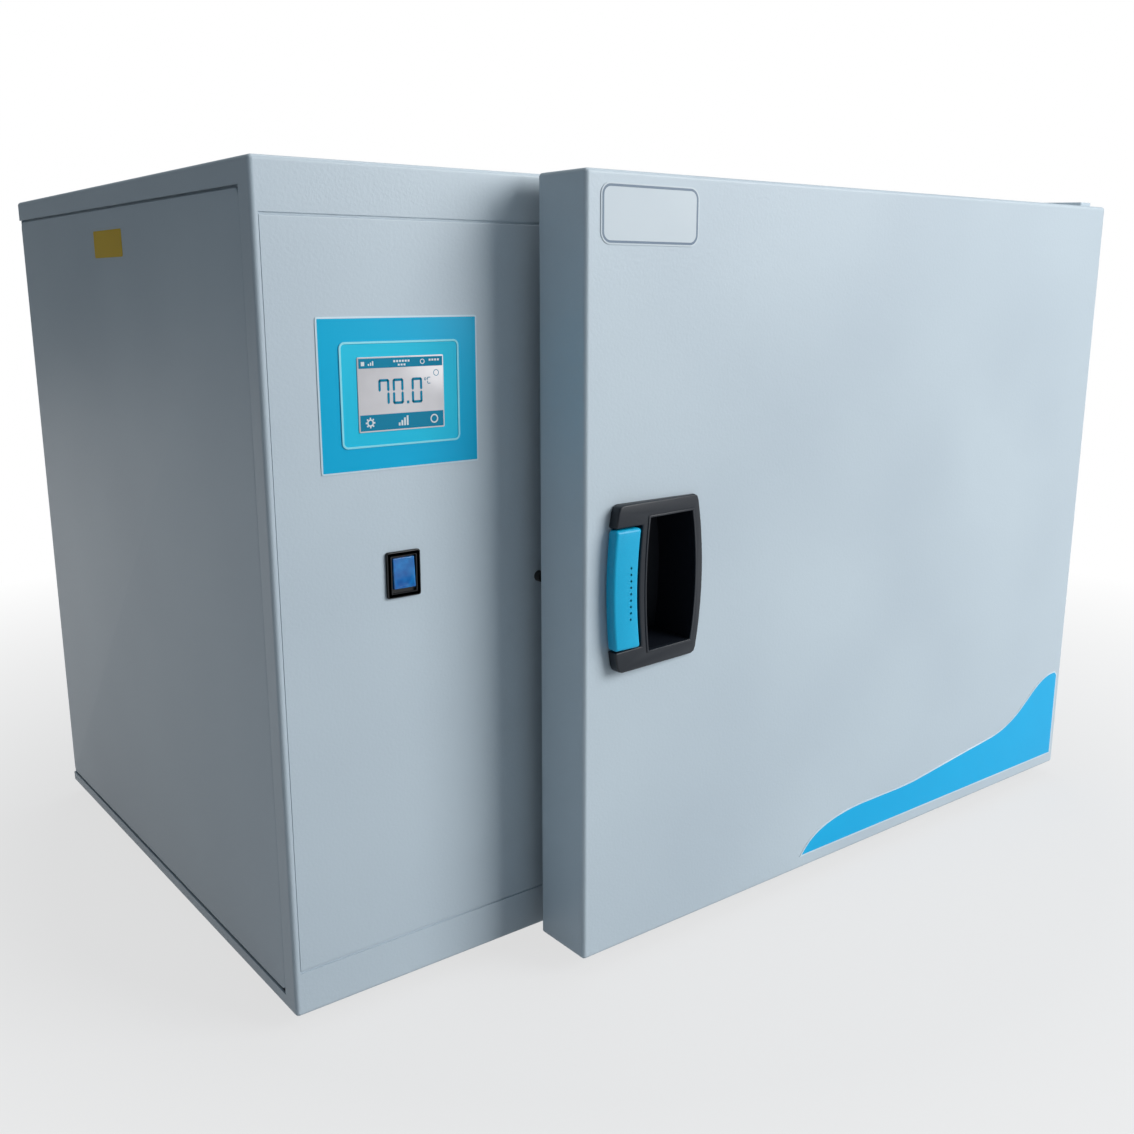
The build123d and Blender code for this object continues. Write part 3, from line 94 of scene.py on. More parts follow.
def tint(tree, shader, factor, dark, light, low=0.3, high=0.7):
    """Base colour that runs from dark to light with a pattern."""
    ramp = add(tree, "ShaderNodeValToRGB", {}, {"Fac": factor})
    ramp.color_ramp.elements[0].position = low
    ramp.color_ramp.elements[0].color = linear(dark)
    ramp.color_ramp.elements[1].position = high
    ramp.color_ramp.elements[1].color = linear(light)
    tree.links.new(ramp.outputs["Color"], shader.inputs["Base Color"])


def vary_roughness(tree, shader, factor, low, high):
    span = add(tree, "ShaderNodeMapRange", {"To Min": low, "To Max": high}, {"Value": factor})
    tree.links.new(span.outputs["Result"], shader.inputs["Roughness"])


# ---------------------------------------------------------------- materials
def powder_coat():
    """Polyester powder coat, sprayed and baked: satin, with a fine orange peel that breaks up glints."""
    made, tree, shader, place = new_material("powder_coat_pale_blue_grey", "#BFCDD7", 0.42)
    peel = grain(tree, shader, place, 2.2, 0.10)
    drift = add(tree, "ShaderNodeTexNoise", {"Scale": 1 / 0.16, "Detail": 1.0}, {"Vector": place})
    tint(tree, shader, drift.outputs["Fac"], "#BBC9D3", "#C3D1DA")
    vary_roughness(tree, shader, peel.outputs["Fac"], 0.36, 0.5)
    return made


def brushed_stainless(name="stainless_brushed", along=(1, 40, 40)):
    """Stainless sheet, belt-brushed: long scratches stretch its glints along one way."""
    made, tree, shader, place = new_material(name, "#C2C3C4", 0.3, Metallic=1.0)
    turned = add(tree, "ShaderNodeMapping", {"Scale": along}, {"Vector": place})
    noise = add(tree, "ShaderNodeTexNoise", {"Scale": 1 / 0.02, "Detail": 4.0},
                {"Vector": turned.outputs["Vector"]})
    bump = add(tree, "ShaderNodeBump", {"Strength": 0.6, "Distance": 0.02 * MM},
               {"Height": noise.outputs["Fac"]})
    tree.links.new(bump.outputs["Normal"], shader.inputs["Normal"])
    vary_roughness(tree, shader, noise.outputs["Fac"], 0.22, 0.4)
    return made


def bright_plate(name):
    """Bright plating, zinc or nickel: a cool metal with faint clouding from the bath."""
    made, tree, shader, place = new_material(name, "#B4B8BC", 0.35, Metallic=1.0)
    cloud = grain(tree, shader, place, 9.0, 0.02, 3.0)
    tint(tree, shader, cloud.outputs["Fac"], "#A6AAB0", "#C3C6C9")
    vary_roughness(tree, shader, cloud.outputs["Fac"], 0.28, 0.46)
    return made


def extruded_aluminium():
    """Bare aluminium: pale and soft in its gloss, with drawn lines."""
    made, tree, shader, place = new_material("aluminium_extruded", "#CFD0D2", 0.42, Metallic=1.0)
    drawn = add(tree, "ShaderNodeMapping", {"Scale": (30, 1, 30)}, {"Vector": place})
    lines = grain(tree, shader, drawn.outputs["Vector"], 20.0, 0.02)
    vary_roughness(tree, shader, lines.outputs["Fac"], 0.34, 0.52)
    return made


def mineral_wool():
    """Resin-bonded mineral wool: matt straw-coloured fibres, drawn coarse so that they show."""
    made, tree, shader, place = new_material("mineral_wool", "#B9A878", 0.95)
    fibres = grain(tree, shader, place, 3.0, 1.2, 6.0)
    tint(tree, shader, fibres.outputs["Fac"], "#94824F", "#CDBE90")
    return made


def silicone(name, base, darker):
    """Moulded silicone rubber: soft, nearly matt, with a little bloom."""
    made, tree, shader, place = new_material(name, base, 0.55)
    bloom = grain(tree, shader, place, 1.2, 0.03)
    tint(tree, shader, bloom.outputs["Fac"], darker, base)
    return made


def moulded(name, base, darker, roughness, size_mm=0.8, depth_mm=0.03):
    """Injection-moulded plastic with the light spark-eroded grain of its tool."""
    made, tree, shader, place = new_material(name, base, roughness, Specular_IOR_Level=0.35)
    texture = grain(tree, shader, place, size_mm, depth_mm)
    tint(tree, shader, texture.outputs["Fac"], darker, base)
    vary_roughness(tree, shader, texture.outputs["Fac"], roughness - 0.06, roughness + 0.08)
    return made


def printed_film(name, base, darker, roughness=0.34):
    """Reverse-printed polyester film: even colour under a fine satin emboss that hardly mirrors."""
    made, tree, shader, place = new_material(name, base, roughness, Specular_IOR_Level=0.2)
    emboss = grain(tree, shader, place, 0.9, 0.012)
    drift = add(tree, "ShaderNodeTexNoise", {"Scale": 1 / 0.09}, {"Vector": place})
    tint(tree, shader, drift.outputs["Fac"], darker, base)
    vary_roughness(tree, shader, emboss.outputs["Fac"], roughness - 0.05, roughness + 0.06)
    return made


def tinted_polycarbonate():
    """Clear blue polycarbonate over a lamp: light enters it, so its edges glow paler."""
    made, tree, shader, place = new_material("polycarbonate_blue", "#0A74C8", 0.14, Transmission_Weight=0.25)
    cloud = grain(tree, shader, place, 6.0, 0.02, 1.0)
    tint(tree, shader, cloud.outputs["Fac"], "#0563B8", "#1A8CDE")
    return made


def liquid_crystal():
    """Lit display behind glass: an even pale grey that gives off a little light."""
    made, tree, shader, place = new_material("lcd_backlit_grey", "#C9C7CA", 0.22)
    shader.inputs["Emission Color"].default_value = linear("#C9C7CA")
    shader.inputs["Emission Strength"].default_value = 0.12
    cell = add(tree, "ShaderNodeTexNoise", {"Scale": 1 / 0.02}, {"Vector": place})
    tint(tree, shader, cell.outputs["Fac"], "#C4C2C5", "#CDCBCE")
    return made


def circuit_laminate():
    """Green solder resist over copper tracks, which show as lighter runs."""
    made, tree, shader, place = new_material("solder_resist_green", "#0F4A2C", 0.35)
    tracks = add(tree, "ShaderNodeTexBrick", {"Scale": 1 / 0.03, "Mortar Size": 0.06}, {"Vector": place})
    tint(tree, shader, tracks.outputs["Fac"], "#0F4A2C", "#1E6B44", 0.2, 0.8)
    return made


# ---------------------------------------------------------------- modelling, in small steps
def leave_edit_mode():
    if bpy.context.object and bpy.context.object.mode != "OBJECT":
        bpy.ops.object.mode_set(mode="OBJECT")


def only(piece):
    """Selects one object and makes it active."""
    leave_edit_mode()
    bpy.ops.object.select_all(action="DESELECT")
    piece.select_set(True)
    bpy.context.view_layer.objects.active = piece


def start_block(name, low, high):
    """A block between two corners, ready to be shaped; its object sits at the origin."""
    leave_edit_mode()
    bpy.ops.object.select_all(action="DESELECT")
    low, high = Vector(low), Vector(high)
    bpy.ops.mesh.primitive_cube_add(size=1, location=(low + high) / 2)
    piece = bpy.context.object
    piece.name = name
    piece.scale = high - low
    bpy.ops.object.transform_apply(location=True, rotation=True, scale=True)
    return piece


def start_disc(name, centre, radius, depth, axis="Y", sides=32):
    leave_edit_mode()
    bpy.ops.object.select_all(action="DESELECT")
    turn = {"X": (0, pi / 2, 0), "Y": (pi / 2, 0, 0), "Z": (0, 0, 0)}[axis]
    bpy.ops.mesh.primitive_cylinder_add(vertices=sides, radius=radius, depth=depth, location=centre,
                                        rotation=turn)
    piece = bpy.context.object
    piece.name = name
    bpy.ops.object.transform_apply(location=True, rotation=True, scale=True)
    return piece


def edit_faces(piece, wanted):
    """Opens a piece in edit mode with the faces chosen by wanted(face) selected."""
    only(piece)
    for item in list(piece.data.vertices) + list(piece.data.edges):
        item.select = False
    for face in piece.data.polygons:
        face.select = bool(wanted(face))
    bpy.ops.object.mode_set(mode="EDIT")
    bpy.ops.mesh.select_mode(type="FACE")


def edit_edges(piece, wanted):
    """The same for edges; wanted gets an edge's two end points."""
    only(piece)
    points = [v.co for v in piece.data.vertices]
    for item in list(piece.data.vertices) + list(piece.data.polygons):
        item.select = False
    chosen = [bool(wanted(points[e.vertices[0]], points[e.vertices[1]])) for e in piece.data.edges]
    bpy.ops.object.mode_set(mode="EDIT")
    bpy.ops.mesh.select_mode(type="EDGE")
    bpy.ops.mesh.select_all(action="DESELECT")
    bpy.ops.object.mode_set(mode="OBJECT")
    for edge, take in zip(piece.data.edges, chosen):
        edge.select = take
    bpy.ops.object.mode_set(mode="EDIT")


def runs_along(axis):
    """A test for edges that run along one axis."""
    index = "XYZ".index(axis)
    return lambda a, b: abs((b - a).normalized()[index]) > 0.99


def faces_front(face):
    return face.normal.y < -0.9


def round_corners(piece, axis, radius, segments=5):
    """Rounds the edges that run along one axis."""
    edit_edges(piece, runs_along(axis))
    bpy.ops.mesh.bevel(offset=radius, segments=segments, affect="EDGES")
    leave_edit_mode()


def inset_front(piece, width, depth=0.0, material=None):
    """Insets the front faces and pushes the inner part by depth; it can take another material slot."""
    edit_faces(piece, faces_front)
    bpy.ops.mesh.inset(thickness=width, depth=depth)
    if material is not None:
        piece.active_material_index = material
        bpy.ops.object.material_slot_assign()
    leave_edit_mode()


def soften(piece, width, segments=2, angle=40):
    """Small bevel on every sharp edge, applied."""
    only(piece)
    bevel = piece.modifiers.new("soft_edges", "BEVEL")
    bevel.width = width
    bevel.segments = segments
    bevel.limit_method = "ANGLE"
    bevel.angle_limit = radians(angle)
    bpy.ops.object.modifier_apply(modifier=bevel.name)


def join(name, pieces):
    """Several meshes as one piece."""
    only(pieces[0])
    for other in pieces[1:]:
        other.select_set(True)
    bpy.ops.object.join()
    pieces[0].name = name
    return pieces[0]


def finish_piece(piece, body, materials, stands_for=()):
    """Smooth shading, materials, and the body that the piece rides on."""
    only(piece)
    bpy.ops.object.shade_smooth_by_angle(angle=radians(35))
    if not piece.data.materials:
        for material in materials:
            piece.data.materials.append(material)
    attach(piece, body)
    if stands_for:
        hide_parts(*stands_for)
    return piece


# ---------------------------------------------------------------- the finishes used
PAINT = powder_coat()
STAINLESS = brushed_stainless()
STAINLESS_UP = brushed_stainless("stainless_brushed_upright", (40, 40, 1))
ZINC = bright_plate("zinc_plated_steel")
ALUMINIUM = extruded_aluminium()
WOOL = mineral_wool()
SEAL = silicone("silicone_pale_grey", "#C9CBC8", "#BBBDB9")
RUBBER = silicone("rubber_black", "#1B1C1D", "#121314")
ABS_BLACK = moulded("abs_black_blue", "#1D242D", "#181E26", 0.4)
# The pocket's lining is the housing's black plastic made darker: painted shade inside the pocket.
POCKET_BLACK_PAINTED_SHADE = moulded("abs_black_pocket_painted_shade", "#0C131E", "#090F18", 0.5)
NYLON_BLACK = moulded("nylon_black", "#15171B", "#0D0F12", 0.32)
LEVER_BLUE = moulded("abs_cyan_blue", "#00B4E0", "#00AADA", 0.36)
PHENOLIC_GREY = moulded("phenolic_grey", "#8D8F8C", "#7E807D", 0.5)
MODULE_BLACK = moulded("polycarbonate_black", "#202225", "#191B1D", 0.45)
ROCKER_BLUE = tinted_polycarbonate()
FILM_CYAN = printed_film("polyester_film_cyan", "#00B2DE", "#00ABDA")
FIELD_CYAN = printed_film("polyester_film_light_cyan", "#22C6E6", "#1ABEE2")
LINE_PALE = printed_film("polyester_film_pale_line", "#98E6F2", "#88DEEE")
EDGE_PALE = printed_film("polyester_film_clear_edge", "#D5E6EE", "#CBDFE9")
ACCENT_BLUE = printed_film("vinyl_film_bright_blue", "#00B5EC", "#00AFE8", 0.3)
BADGE_WHITE = printed_film("vinyl_film_pale", "#D3DDE3", "#CCD7DE", 0.3)
BADGE_EDGE = printed_film("vinyl_film_slate", "#7C8DA0", "#728496", 0.3)
STICKER_YELLOW = printed_film("vinyl_film_yellow", "#E6BE14", "#DCB410", 0.4)
LCD_GREY = liquid_crystal()
LCD_TEAL = printed_film("lcd_segment_teal", "#0A84A6", "#067C9F", 0.24)
LCD_PALE = printed_film("lcd_icon_pale", "#DDE6E8", "#D3DEE1", 0.24)
LAMINATE = circuit_laminate()
BRASS = bright_plate("nickel_plated_brass")

NODE_FINISH = {
    PAINT: ("outer_case", "left_side_panel", "right_side_panel", "rear_panel", "control_panel",
            "top_hinge_plate", "bottom_hinge_plate", "door_skin"),
    STAINLESS: ("chamber_liner", "fan_baffle", "baffle_spacers", "fan_shaft", "heating_element",
                "temperature_probe", "access_port_tube", "lower_shelf", "upper_shelf", "hinge_pins",
                "door_inner_panel", "lever_pin"),
    STAINLESS_UP: ("shelf_rack_left", "shelf_rack_right"),
    ZINC: ("side_panel_clips", "rear_panel_screws", "foot_screws", "control_bay_bulkhead", "rear_inner_wall",
           "hinge_backing_plates", "fan_motor", "board_pillars", "hinge_blocks", "hinge_screws",
           "latch_keeper", "latch_tongue"),
    ALUMINIUM: ("fan_impeller", "heat_sink"),
    WOOL: ("insulation_jacket", "door_insulation"),
    SEAL: ("door_seal",),
    RUBBER: ("rubber_feet", "door_bumper"),
    ABS_BLACK: ("handle_housing",),
    NYLON_BLACK: ("power_switch_body", "mains_inlet"),
    LEVER_BLUE: ("handle_lever",),
    MODULE_BLACK: ("controller_module", "solid_state_relay"),
    PHENOLIC_GREY: ("terminal_strip", "overheat_cutout"),
    ROCKER_BLUE: ("power_switch_rocker",),
    FILM_CYAN: ("display_overlay",),
    FIELD_CYAN: ("display_bezel",),
    LCD_GREY: ("touch_screen",),
    LAMINATE: ("circuit_board",),
    BRASS: ("inlet_pins", "hinge_bushes"),
    BADGE_WHITE: ("door_badge",),
    ACCENT_BLUE: ("door_accent_film",),
    STICKER_YELLOW: ("side_sticker",),
}
for finish, nodes in NODE_FINISH.items():
    for node in nodes:
        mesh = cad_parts[node].data
        mesh.materials.clear()
        mesh.materials.append(finish)


LENS_PROUD = 0.15 * MM      # the screen's lens, before the field round it
COVER_PROUD = 0.9 * MM      # a side cover's face, before its packed panel
PRINT_LIFT = 0.08           # millimetres that printing stands out
MARK_LIFT = 0.14            # and printing that lies on it


# ---------------------------------------------------------------- display
def display_film():
    """Cyan film with a thin clear edge, and a pale raised line round a lighter field; returns the field's
    front, where the lit screen sits.
    """
    low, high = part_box("display_overlay")
    film = start_block("overlay_film", (low.x, high.y - 0.5 * MM, low.z), (high.x, high.y, high.z))
    round_corners(film, "Y", 1.5 * MM, 3)
    film.data.materials.append(EDGE_PALE)
    film.data.materials.append(FILM_CYAN)
    inset_front(film, 1.1 * MM, 0.1 * MM, 1)
    finish_piece(film, "cabinet", [], ["display_overlay"])

    low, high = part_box("display_bezel")
    field = start_block("display_field", (low.x, low.y + 0.9 * MM, low.z), (high.x, high.y, high.z))
    round_corners(field, "Y", 4 * MM, 6)
    for material in (LINE_PALE, FIELD_CYAN):
        field.data.materials.append(material)
    inset_front(field, 1.3 * MM, 0.0, 1)
    edit_faces(field, lambda face: faces_front(face) and face.material_index == 1)
    bpy.ops.mesh.inset(thickness=0.3 * MM, depth=-0.45 * MM)
    leave_edit_mode()
    finish_piece(field, "cabinet", [], ["display_bezel"])
    return low.y + 0.9 * MM


def lit_screen(front):
    """The screen as a thin lens with rounded edges, just proud of the field round it."""
    low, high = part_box("touch_screen")
    lens = start_block("screen_lens", (low.x, front - LENS_PROUD, low.z), (high.x, front + 1.1 * MM, high.z))
    round_corners(lens, "Y", 0.8 * MM, 3)
    soften(lens, 0.2 * MM, 2)
    finish_piece(lens, "cabinet", [LCD_GREY], ["touch_screen"])
    return front - LENS_PROUD


class Screen:
    """Places on the screen, in millimetres from its lower left corner."""

    def __init__(self, front):
        self.low, self.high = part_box("touch_screen")
        self.front = front
        self.made = {LCD_TEAL: [], LCD_PALE: []}

    def bar(self, x, z, width, height, ink=LCD_TEAL, lift=PRINT_LIFT):
        """A flat printed bar; the second ink lies on the first."""
        left, base = self.low.x + x * MM, self.low.z + z * MM
        face = self.front - lift * MM
        low, high = (left, face, base), (left + width * MM, self.front + 0.05 * MM, base + height * MM)
        made = start_block("bar", low, high)
        self.made[ink].append(made)
        return made

    def segment(self, x, z, width, height):
        """One bar of a digit, pointed at both ends."""
        made = self.bar(x, z, width, height)
        round_corners(made, "Y", min(width, height) * 0.48 * MM, 1)

    def ring(self, x, z, radius, wall, ink=LCD_TEAL, lift=PRINT_LIFT):
        """A printed ring: a disc whose front face is inset and its middle taken away."""
        centre = (self.low.x + x * MM, self.front - lift / 2 * MM, self.low.z + z * MM)
        made = start_disc("ring", centre, radius * MM, lift * MM, sides=20)
        edit_faces(made, lambda face: abs(face.normal.y) > 0.9)
        bpy.ops.mesh.inset(thickness=wall * MM)
        bpy.ops.mesh.bridge_edge_loops()
        leave_edit_mode()
        self.made[ink].append(made)
        return made

    def digit(self, x, z, width, height, lit, stroke=1.7):
        """A seven-segment digit; lit names its bars: a top, b and c right, d base, e and f left, g middle."""
        half, gap = height / 2, 0.25
        bars = {
            "a": (x + gap, z + height - stroke, width - 2 * gap, stroke),
            "b": (x + width - stroke, z + half + gap, stroke, half - 2 * gap),
            "c": (x + width - stroke, z + gap, stroke, half - 2 * gap),
            "d": (x + gap, z, width - 2 * gap, stroke),
            "e": (x, z + gap, stroke, half - 2 * gap),
            "f": (x, z + half + gap, stroke, half - 2 * gap),
            "g": (x + gap, z + half - stroke / 2, width - 2 * gap, stroke),
        }
        for name in lit:
            self.segment(*bars[name])

    def marks(self, x, z, step, width, heights):
        """A row of small pale bars that lie on a dark one, one for each height."""
        for i, height in enumerate(heights):
            self.bar(x + i * step, z, width, height, LCD_PALE, MARK_LIFT)

    def finish(self):
        for ink, name in ((LCD_TEAL, "screen_segments"), (LCD_PALE, "screen_icons")):
            piece = join(name, self.made[ink])
            piece.data.materials.clear()
            finish_piece(piece, "cabinet", [ink])


def screen_contents(front):
    """A plain temperature between two dark bars that carry small generic marks; in millimetres."""
    screen = Screen(front)
    width = (screen.high.x - screen.low.x) / MM
    height = (screen.high.z - screen.low.z) / MM
    top, base, ends = 6.2, 10.2, 0.9
    screen.bar(ends, height - ends - top, width - 2 * ends, top)
    screen.bar(ends, ends, width - 2 * ends, base)

    figure_z, figure_h, figure_w, point = 17.0, 16.4, 8.0, 1.8
    screen.digit(14.6, figure_z, figure_w, figure_h, "abcf")
    screen.digit(25.0, figure_z, figure_w, figure_h, "abcdef")
    screen.bar(35.2, figure_z, point, point)
    screen.digit(39.0, figure_z, figure_w, figure_h, "abcdef")
    unit_h, unit_w = 4.4, 2.6
    screen.ring(49.4, figure_z + figure_h - 1.2, 0.9, 0.35)
    screen.digit(51.0, figure_z + figure_h - unit_h, unit_w, unit_h, "adef", 0.5)
    screen.ring(57.8, height - 11.6, 2.1, 0.4)

    mark_z = height - ends - top
    screen.marks(2.6, mark_z + 1.6, 0, 2.4, (2.6,))
    screen.marks(7.6, mark_z + 1.6, 1.5, 0.9, (1.2, 2.0, 2.8))
    screen.marks(26.0, mark_z + 3.3, 2.1, 1.4, [1.3] * 6)
    screen.marks(29.2, mark_z + 1.0, 2.1, 1.4, [1.2] * 3)
    screen.ring(47.5, mark_z + 3.1, 1.7, 0.5, LCD_PALE, MARK_LIFT)
    screen.marks(52.4, mark_z + 3.3, 2.1, 1.4, [1.3] * 4)

    centre_z = ends + base / 2
    cog_x, cog_r, tooth, teeth = 8.0, 2.9, 1.0, 8
    screen.ring(cog_x, centre_z, 2.4, 0.9, LCD_PALE, MARK_LIFT)
    for i in range(teeth):
        angle = i * 2 * pi / teeth
        x, z = cog_x + cog_r * cos(angle), centre_z + cog_r * sin(angle)
        screen.marks(x - tooth / 2, z - tooth / 2, 0, tooth, (tooth,))
    screen.marks(28.6, centre_z - 3.0, 2.0, 1.3, (2.0, 3.4, 5.0, 6.2))
    screen.ring(55.6, centre_z, 3.0, 0.9, LCD_PALE, MARK_LIFT)
    screen.finish()


# ---------------------------------------------------------------- switch
def switch_bezel():
    """Black snap-in body with a raised, rounded rim round the rocker."""
    low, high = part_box("power_switch_body")
    rim_back, rim_width = low.y + 2.2 * MM, 3.4 * MM
    rim = start_block("switch_rim", (low.x, low.y, low.z), (high.x, rim_back, high.z))
    round_corners(rim, "Y", 2 * MM, 4)
    edit_faces(rim, faces_front)
    bpy.ops.mesh.inset(thickness=rim_width)
    bpy.ops.mesh.delete(type="FACE")
    leave_edit_mode()
    edit_edges(rim, lambda a, b: max(a.y, b.y) < rim_back - MM and inner_edge(rim, a, b, 3.0 * MM))
    bpy.ops.mesh.extrude_region_move(TRANSFORM_OT_translate={"value": (0, 1.9 * MM, 0)})
    leave_edit_mode()
    soften(rim, 0.6 * MM, 3)
    finish_piece(rim, "cabinet", [NYLON_BLACK])


def inner_edge(piece, a, b, margin):
    """Whether an edge lies inside the piece's outline by more than a margin."""
    xs = [v.co.x for v in piece.data.vertices]
    zs = [v.co.z for v in piece.data.vertices]
    middle = (a + b) / 2
    inside_x = min(xs) + margin < middle.x < max(xs) - margin
    inside_z = min(zs) + margin < middle.z < max(zs) - margin
    return inside_x and inside_z


def rocker_cap():
    """Blue lens of the rocker: a soft-edged block with a shallow dish, tilted as its CAD solid is."""
    low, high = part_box("power_switch_rocker")
    middle = (low + high) / 2
    cap = start_block("rocker_lens", (low.x, low.y + 0.6 * MM, low.z + 0.4 * MM),
                      (high.x, low.y + 9 * MM, high.z - 0.4 * MM))
    edit_faces(cap, faces_front)
    bpy.ops.transform.resize(value=(0.93, 1, 0.95), center_override=middle)
    bpy.ops.mesh.inset(thickness=1.5 * MM, depth=-0.5 * MM)
    leave_edit_mode()
    only(cap)
    bpy.ops.object.mode_set(mode="EDIT")
    bpy.ops.mesh.select_all(action="SELECT")
    bpy.ops.transform.rotate(value=radians(4), orient_axis="X", center_override=middle)
    leave_edit_mode()
    soften(cap, 0.7 * MM, 4, 30)
    finish_piece(cap, "rocker", [ROCKER_BLUE], ["power_switch_rocker"])


# ---------------------------------------------------------------- case
def seam_backing():
    """The case's joggled flange, just behind the seam round the control panel."""
    low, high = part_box("control_panel")
    outer = start_block("panel_flange", (low.x - 3 * MM, low.y + 1.0 * MM, low.z - 4 * MM),
                        (high.x + 3 * MM, low.y + 1.9 * MM, high.z + 4 * MM))
    edit_faces(outer, lambda face: abs(face.normal.y) > 0.9)
    bpy.ops.mesh.inset(thickness=6.5 * MM)
    bpy.ops.mesh.bridge_edge_loops()
    leave_edit_mode()
    finish_piece(outer, "cabinet", [PAINT])


def side_cover(side):
    """A side's folded cover: rolled edges and round corners, so that its rim catches the light."""
    node = side + "_side_panel"
    low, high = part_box(node)
    outward = -1 if side == "left" else 1
    thick, wall = 12 * MM, 1.5 * MM
    face_x = low.x - COVER_PROUD if side == "left" else high.x + COVER_PROUD
    inner_x = face_x - outward * thick
    cover = start_block(node + "_cover", (min(face_x, inner_x), low.y, low.z),
                        (max(face_x, inner_x), high.y, high.z))
    round_corners(cover, "X", 6 * MM, 6)
    edit_faces(cover, lambda face: face.normal.x * outward < -0.9)
    bpy.ops.mesh.inset(thickness=wall)
    bpy.ops.mesh.extrude_region_move(TRANSFORM_OT_translate={"value": (outward * (thick - wall), 0, 0)})
    leave_edit_mode()
    soften(cover, 2.2 * MM, 5, 50)
    finish_piece(cover, "cabinet", [PAINT], [node])


def side_recess(side):
    """The step in the case that the side cover sits in, seen as the dark line round it."""
    low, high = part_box(side + "_side_panel")
    outward = -1 if side == "left" else 1
    x = low.x + 2.6 * MM if side == "left" else high.x - 2.6 * MM
    back = x - outward * 0.9 * MM
    ring_low = (min(x, back), low.y - 4 * MM, low.z - 4 * MM)
    ring_high = (max(x, back), high.y + 0.2 * MM, high.z + 4 * MM)
    ring = start_block(side + "_recess", ring_low, ring_high)
    edit_faces(ring, lambda face: abs(face.normal.x) > 0.9)
    bpy.ops.mesh.inset(thickness=7 * MM)
    bpy.ops.mesh.bridge_edge_loops()
    leave_edit_mode()
    finish_piece(ring, "cabinet", [PAINT])


def blank_sticker():
    """Blank yellow label, lifted to lie on the side cover, its corners rounded."""
    low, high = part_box("side_sticker")
    label = start_block("blank_label", (low.x - COVER_PROUD - 0.02 * MM, low.y, low.z),
                        (high.x - COVER_PROUD, high.y, high.z))
    round_corners(label, "X", 1.5 * MM, 3)
    finish_piece(label, "cabinet", [STICKER_YELLOW], ["side_sticker"])


# ---------------------------------------------------------------- door
def bowed_edge(x_end, x_middle, half, top, steps=10):
    """Points of a bowed side in x, z about the handle's middle, from one end to the other."""
    sagitta = x_middle - x_end
    points = []
    for i in range(steps + 1):
        t = 1 - 2 * i / steps
        points.append((x_end + sagitta * (1 - t * t), t * half * top))
    return points


def plate_from(name, outline, back, front):
    """A plate whose outline, in x and z, is filled at the back and extruded to the front."""
    leave_edit_mode()
    bpy.ops.object.select_all(action="DESELECT")
    bpy.ops.mesh.primitive_circle_add(vertices=len(outline), radius=0.1, fill_type="NGON", location=(0, 0, 0))
    piece = bpy.context.object
    piece.name = name
    for vertex, (x, z) in zip(piece.data.vertices, outline):
        vertex.co = (x, back, z)
    only(piece)
    bpy.ops.object.mode_set(mode="EDIT")
    bpy.ops.mesh.select_all(action="SELECT")
    bpy.ops.mesh.extrude_region_move(TRANSFORM_OT_translate={"value": (0, front - back, 0)})
    bpy.ops.mesh.select_all(action="SELECT")
    bpy.ops.mesh.normals_make_consistent(inside=False)
    leave_edit_mode()
    return piece


class Handle:
    """The handle's main sizes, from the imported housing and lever."""

    def __init__(self):
        self.low, self.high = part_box("handle_housing")
        self.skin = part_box("door_skin")[0].y
        self.middle = (self.low + self.high) / 2
        self.half_h = (self.high.z - self.low.z) / 2
        self.half_w = (self.high.x - self.low.x) / 2
        self.end = self.half_w - 5.5 * MM   # half its width at the top and bottom
        self.front = self.low.y
        self.fall = 7 * MM                  # how much nearer to the door its right side is
        self.lever_half = 43 * MM

    def outline(self, shrink=0.0, corner=5.0):
        """Flat ends, bowed sides, and a chamfer-like curve at each corner."""
        half, end, wide = self.half_h - shrink * MM, self.end - shrink * MM, self.half_w - shrink * MM
        right = bowed_edge(end, wide, half, 1 - corner * MM / half)
        left = [(-x, -z) for x, z in right]
        round_top = (end - corner * 0.3 * MM, half - corner * 0.28 * MM)
        flat = end - corner * MM
        points = [(flat, half), round_top] + right + [(round_top[0], -round_top[1]), (flat, -half)]
        points += [(-flat, -half), (-round_top[0], -round_top[1])] + left
        points += [(-round_top[0], round_top[1]), (-flat, half)]
        return [(self.middle.x + x, self.middle.z + z) for x, z in points]

    def pocket(self, grow=0.0):
        """The pocket's mouth: its left side follows the lever's bow, its right the housing's."""
        left_x, right_x = self.middle.x - (10 + grow) * MM, self.middle.x + (33.4 + grow) * MM
        half = (48.5 + grow) * MM
        right = [(right_x + x, z) for x, z in bowed_edge(0, 4.4 * MM, half, 1)]
        left = [(left_x + x, -z) for x, z in bowed_edge(0, -3.2 * MM, half, 1)]
        return [(x, self.middle.z + z) for x, z in right + left]

    def lever(self, shrink=0.0):
        """The lever's outline, bowed the same way on both sides."""
        half = self.lever_half - shrink * MM
        left_x = self.middle.x - self.end - 3 * MM + shrink * MM
        right_x = self.middle.x - 20.6 * MM - shrink * MM
        right = [(right_x + x, z) for x, z in bowed_edge(0, -3.0 * MM, half, 1)]
        left = [(left_x + x, -z) for x, z in bowed_edge(0, -2.6 * MM, half, 1)]
        return [(x, self.middle.z + z) for x, z in right + left]


def slope_front(piece, handle, front):
    """Leans a plate's front back towards its right side, as the housing's face does."""
    left, wide = handle.low.x, handle.high.x - handle.low.x
    for vertex in piece.data.vertices:
        if vertex.co.y < front + 0.1 * MM:
            vertex.co.y += handle.fall * max(0.0, (vertex.co.x - left) / wide)


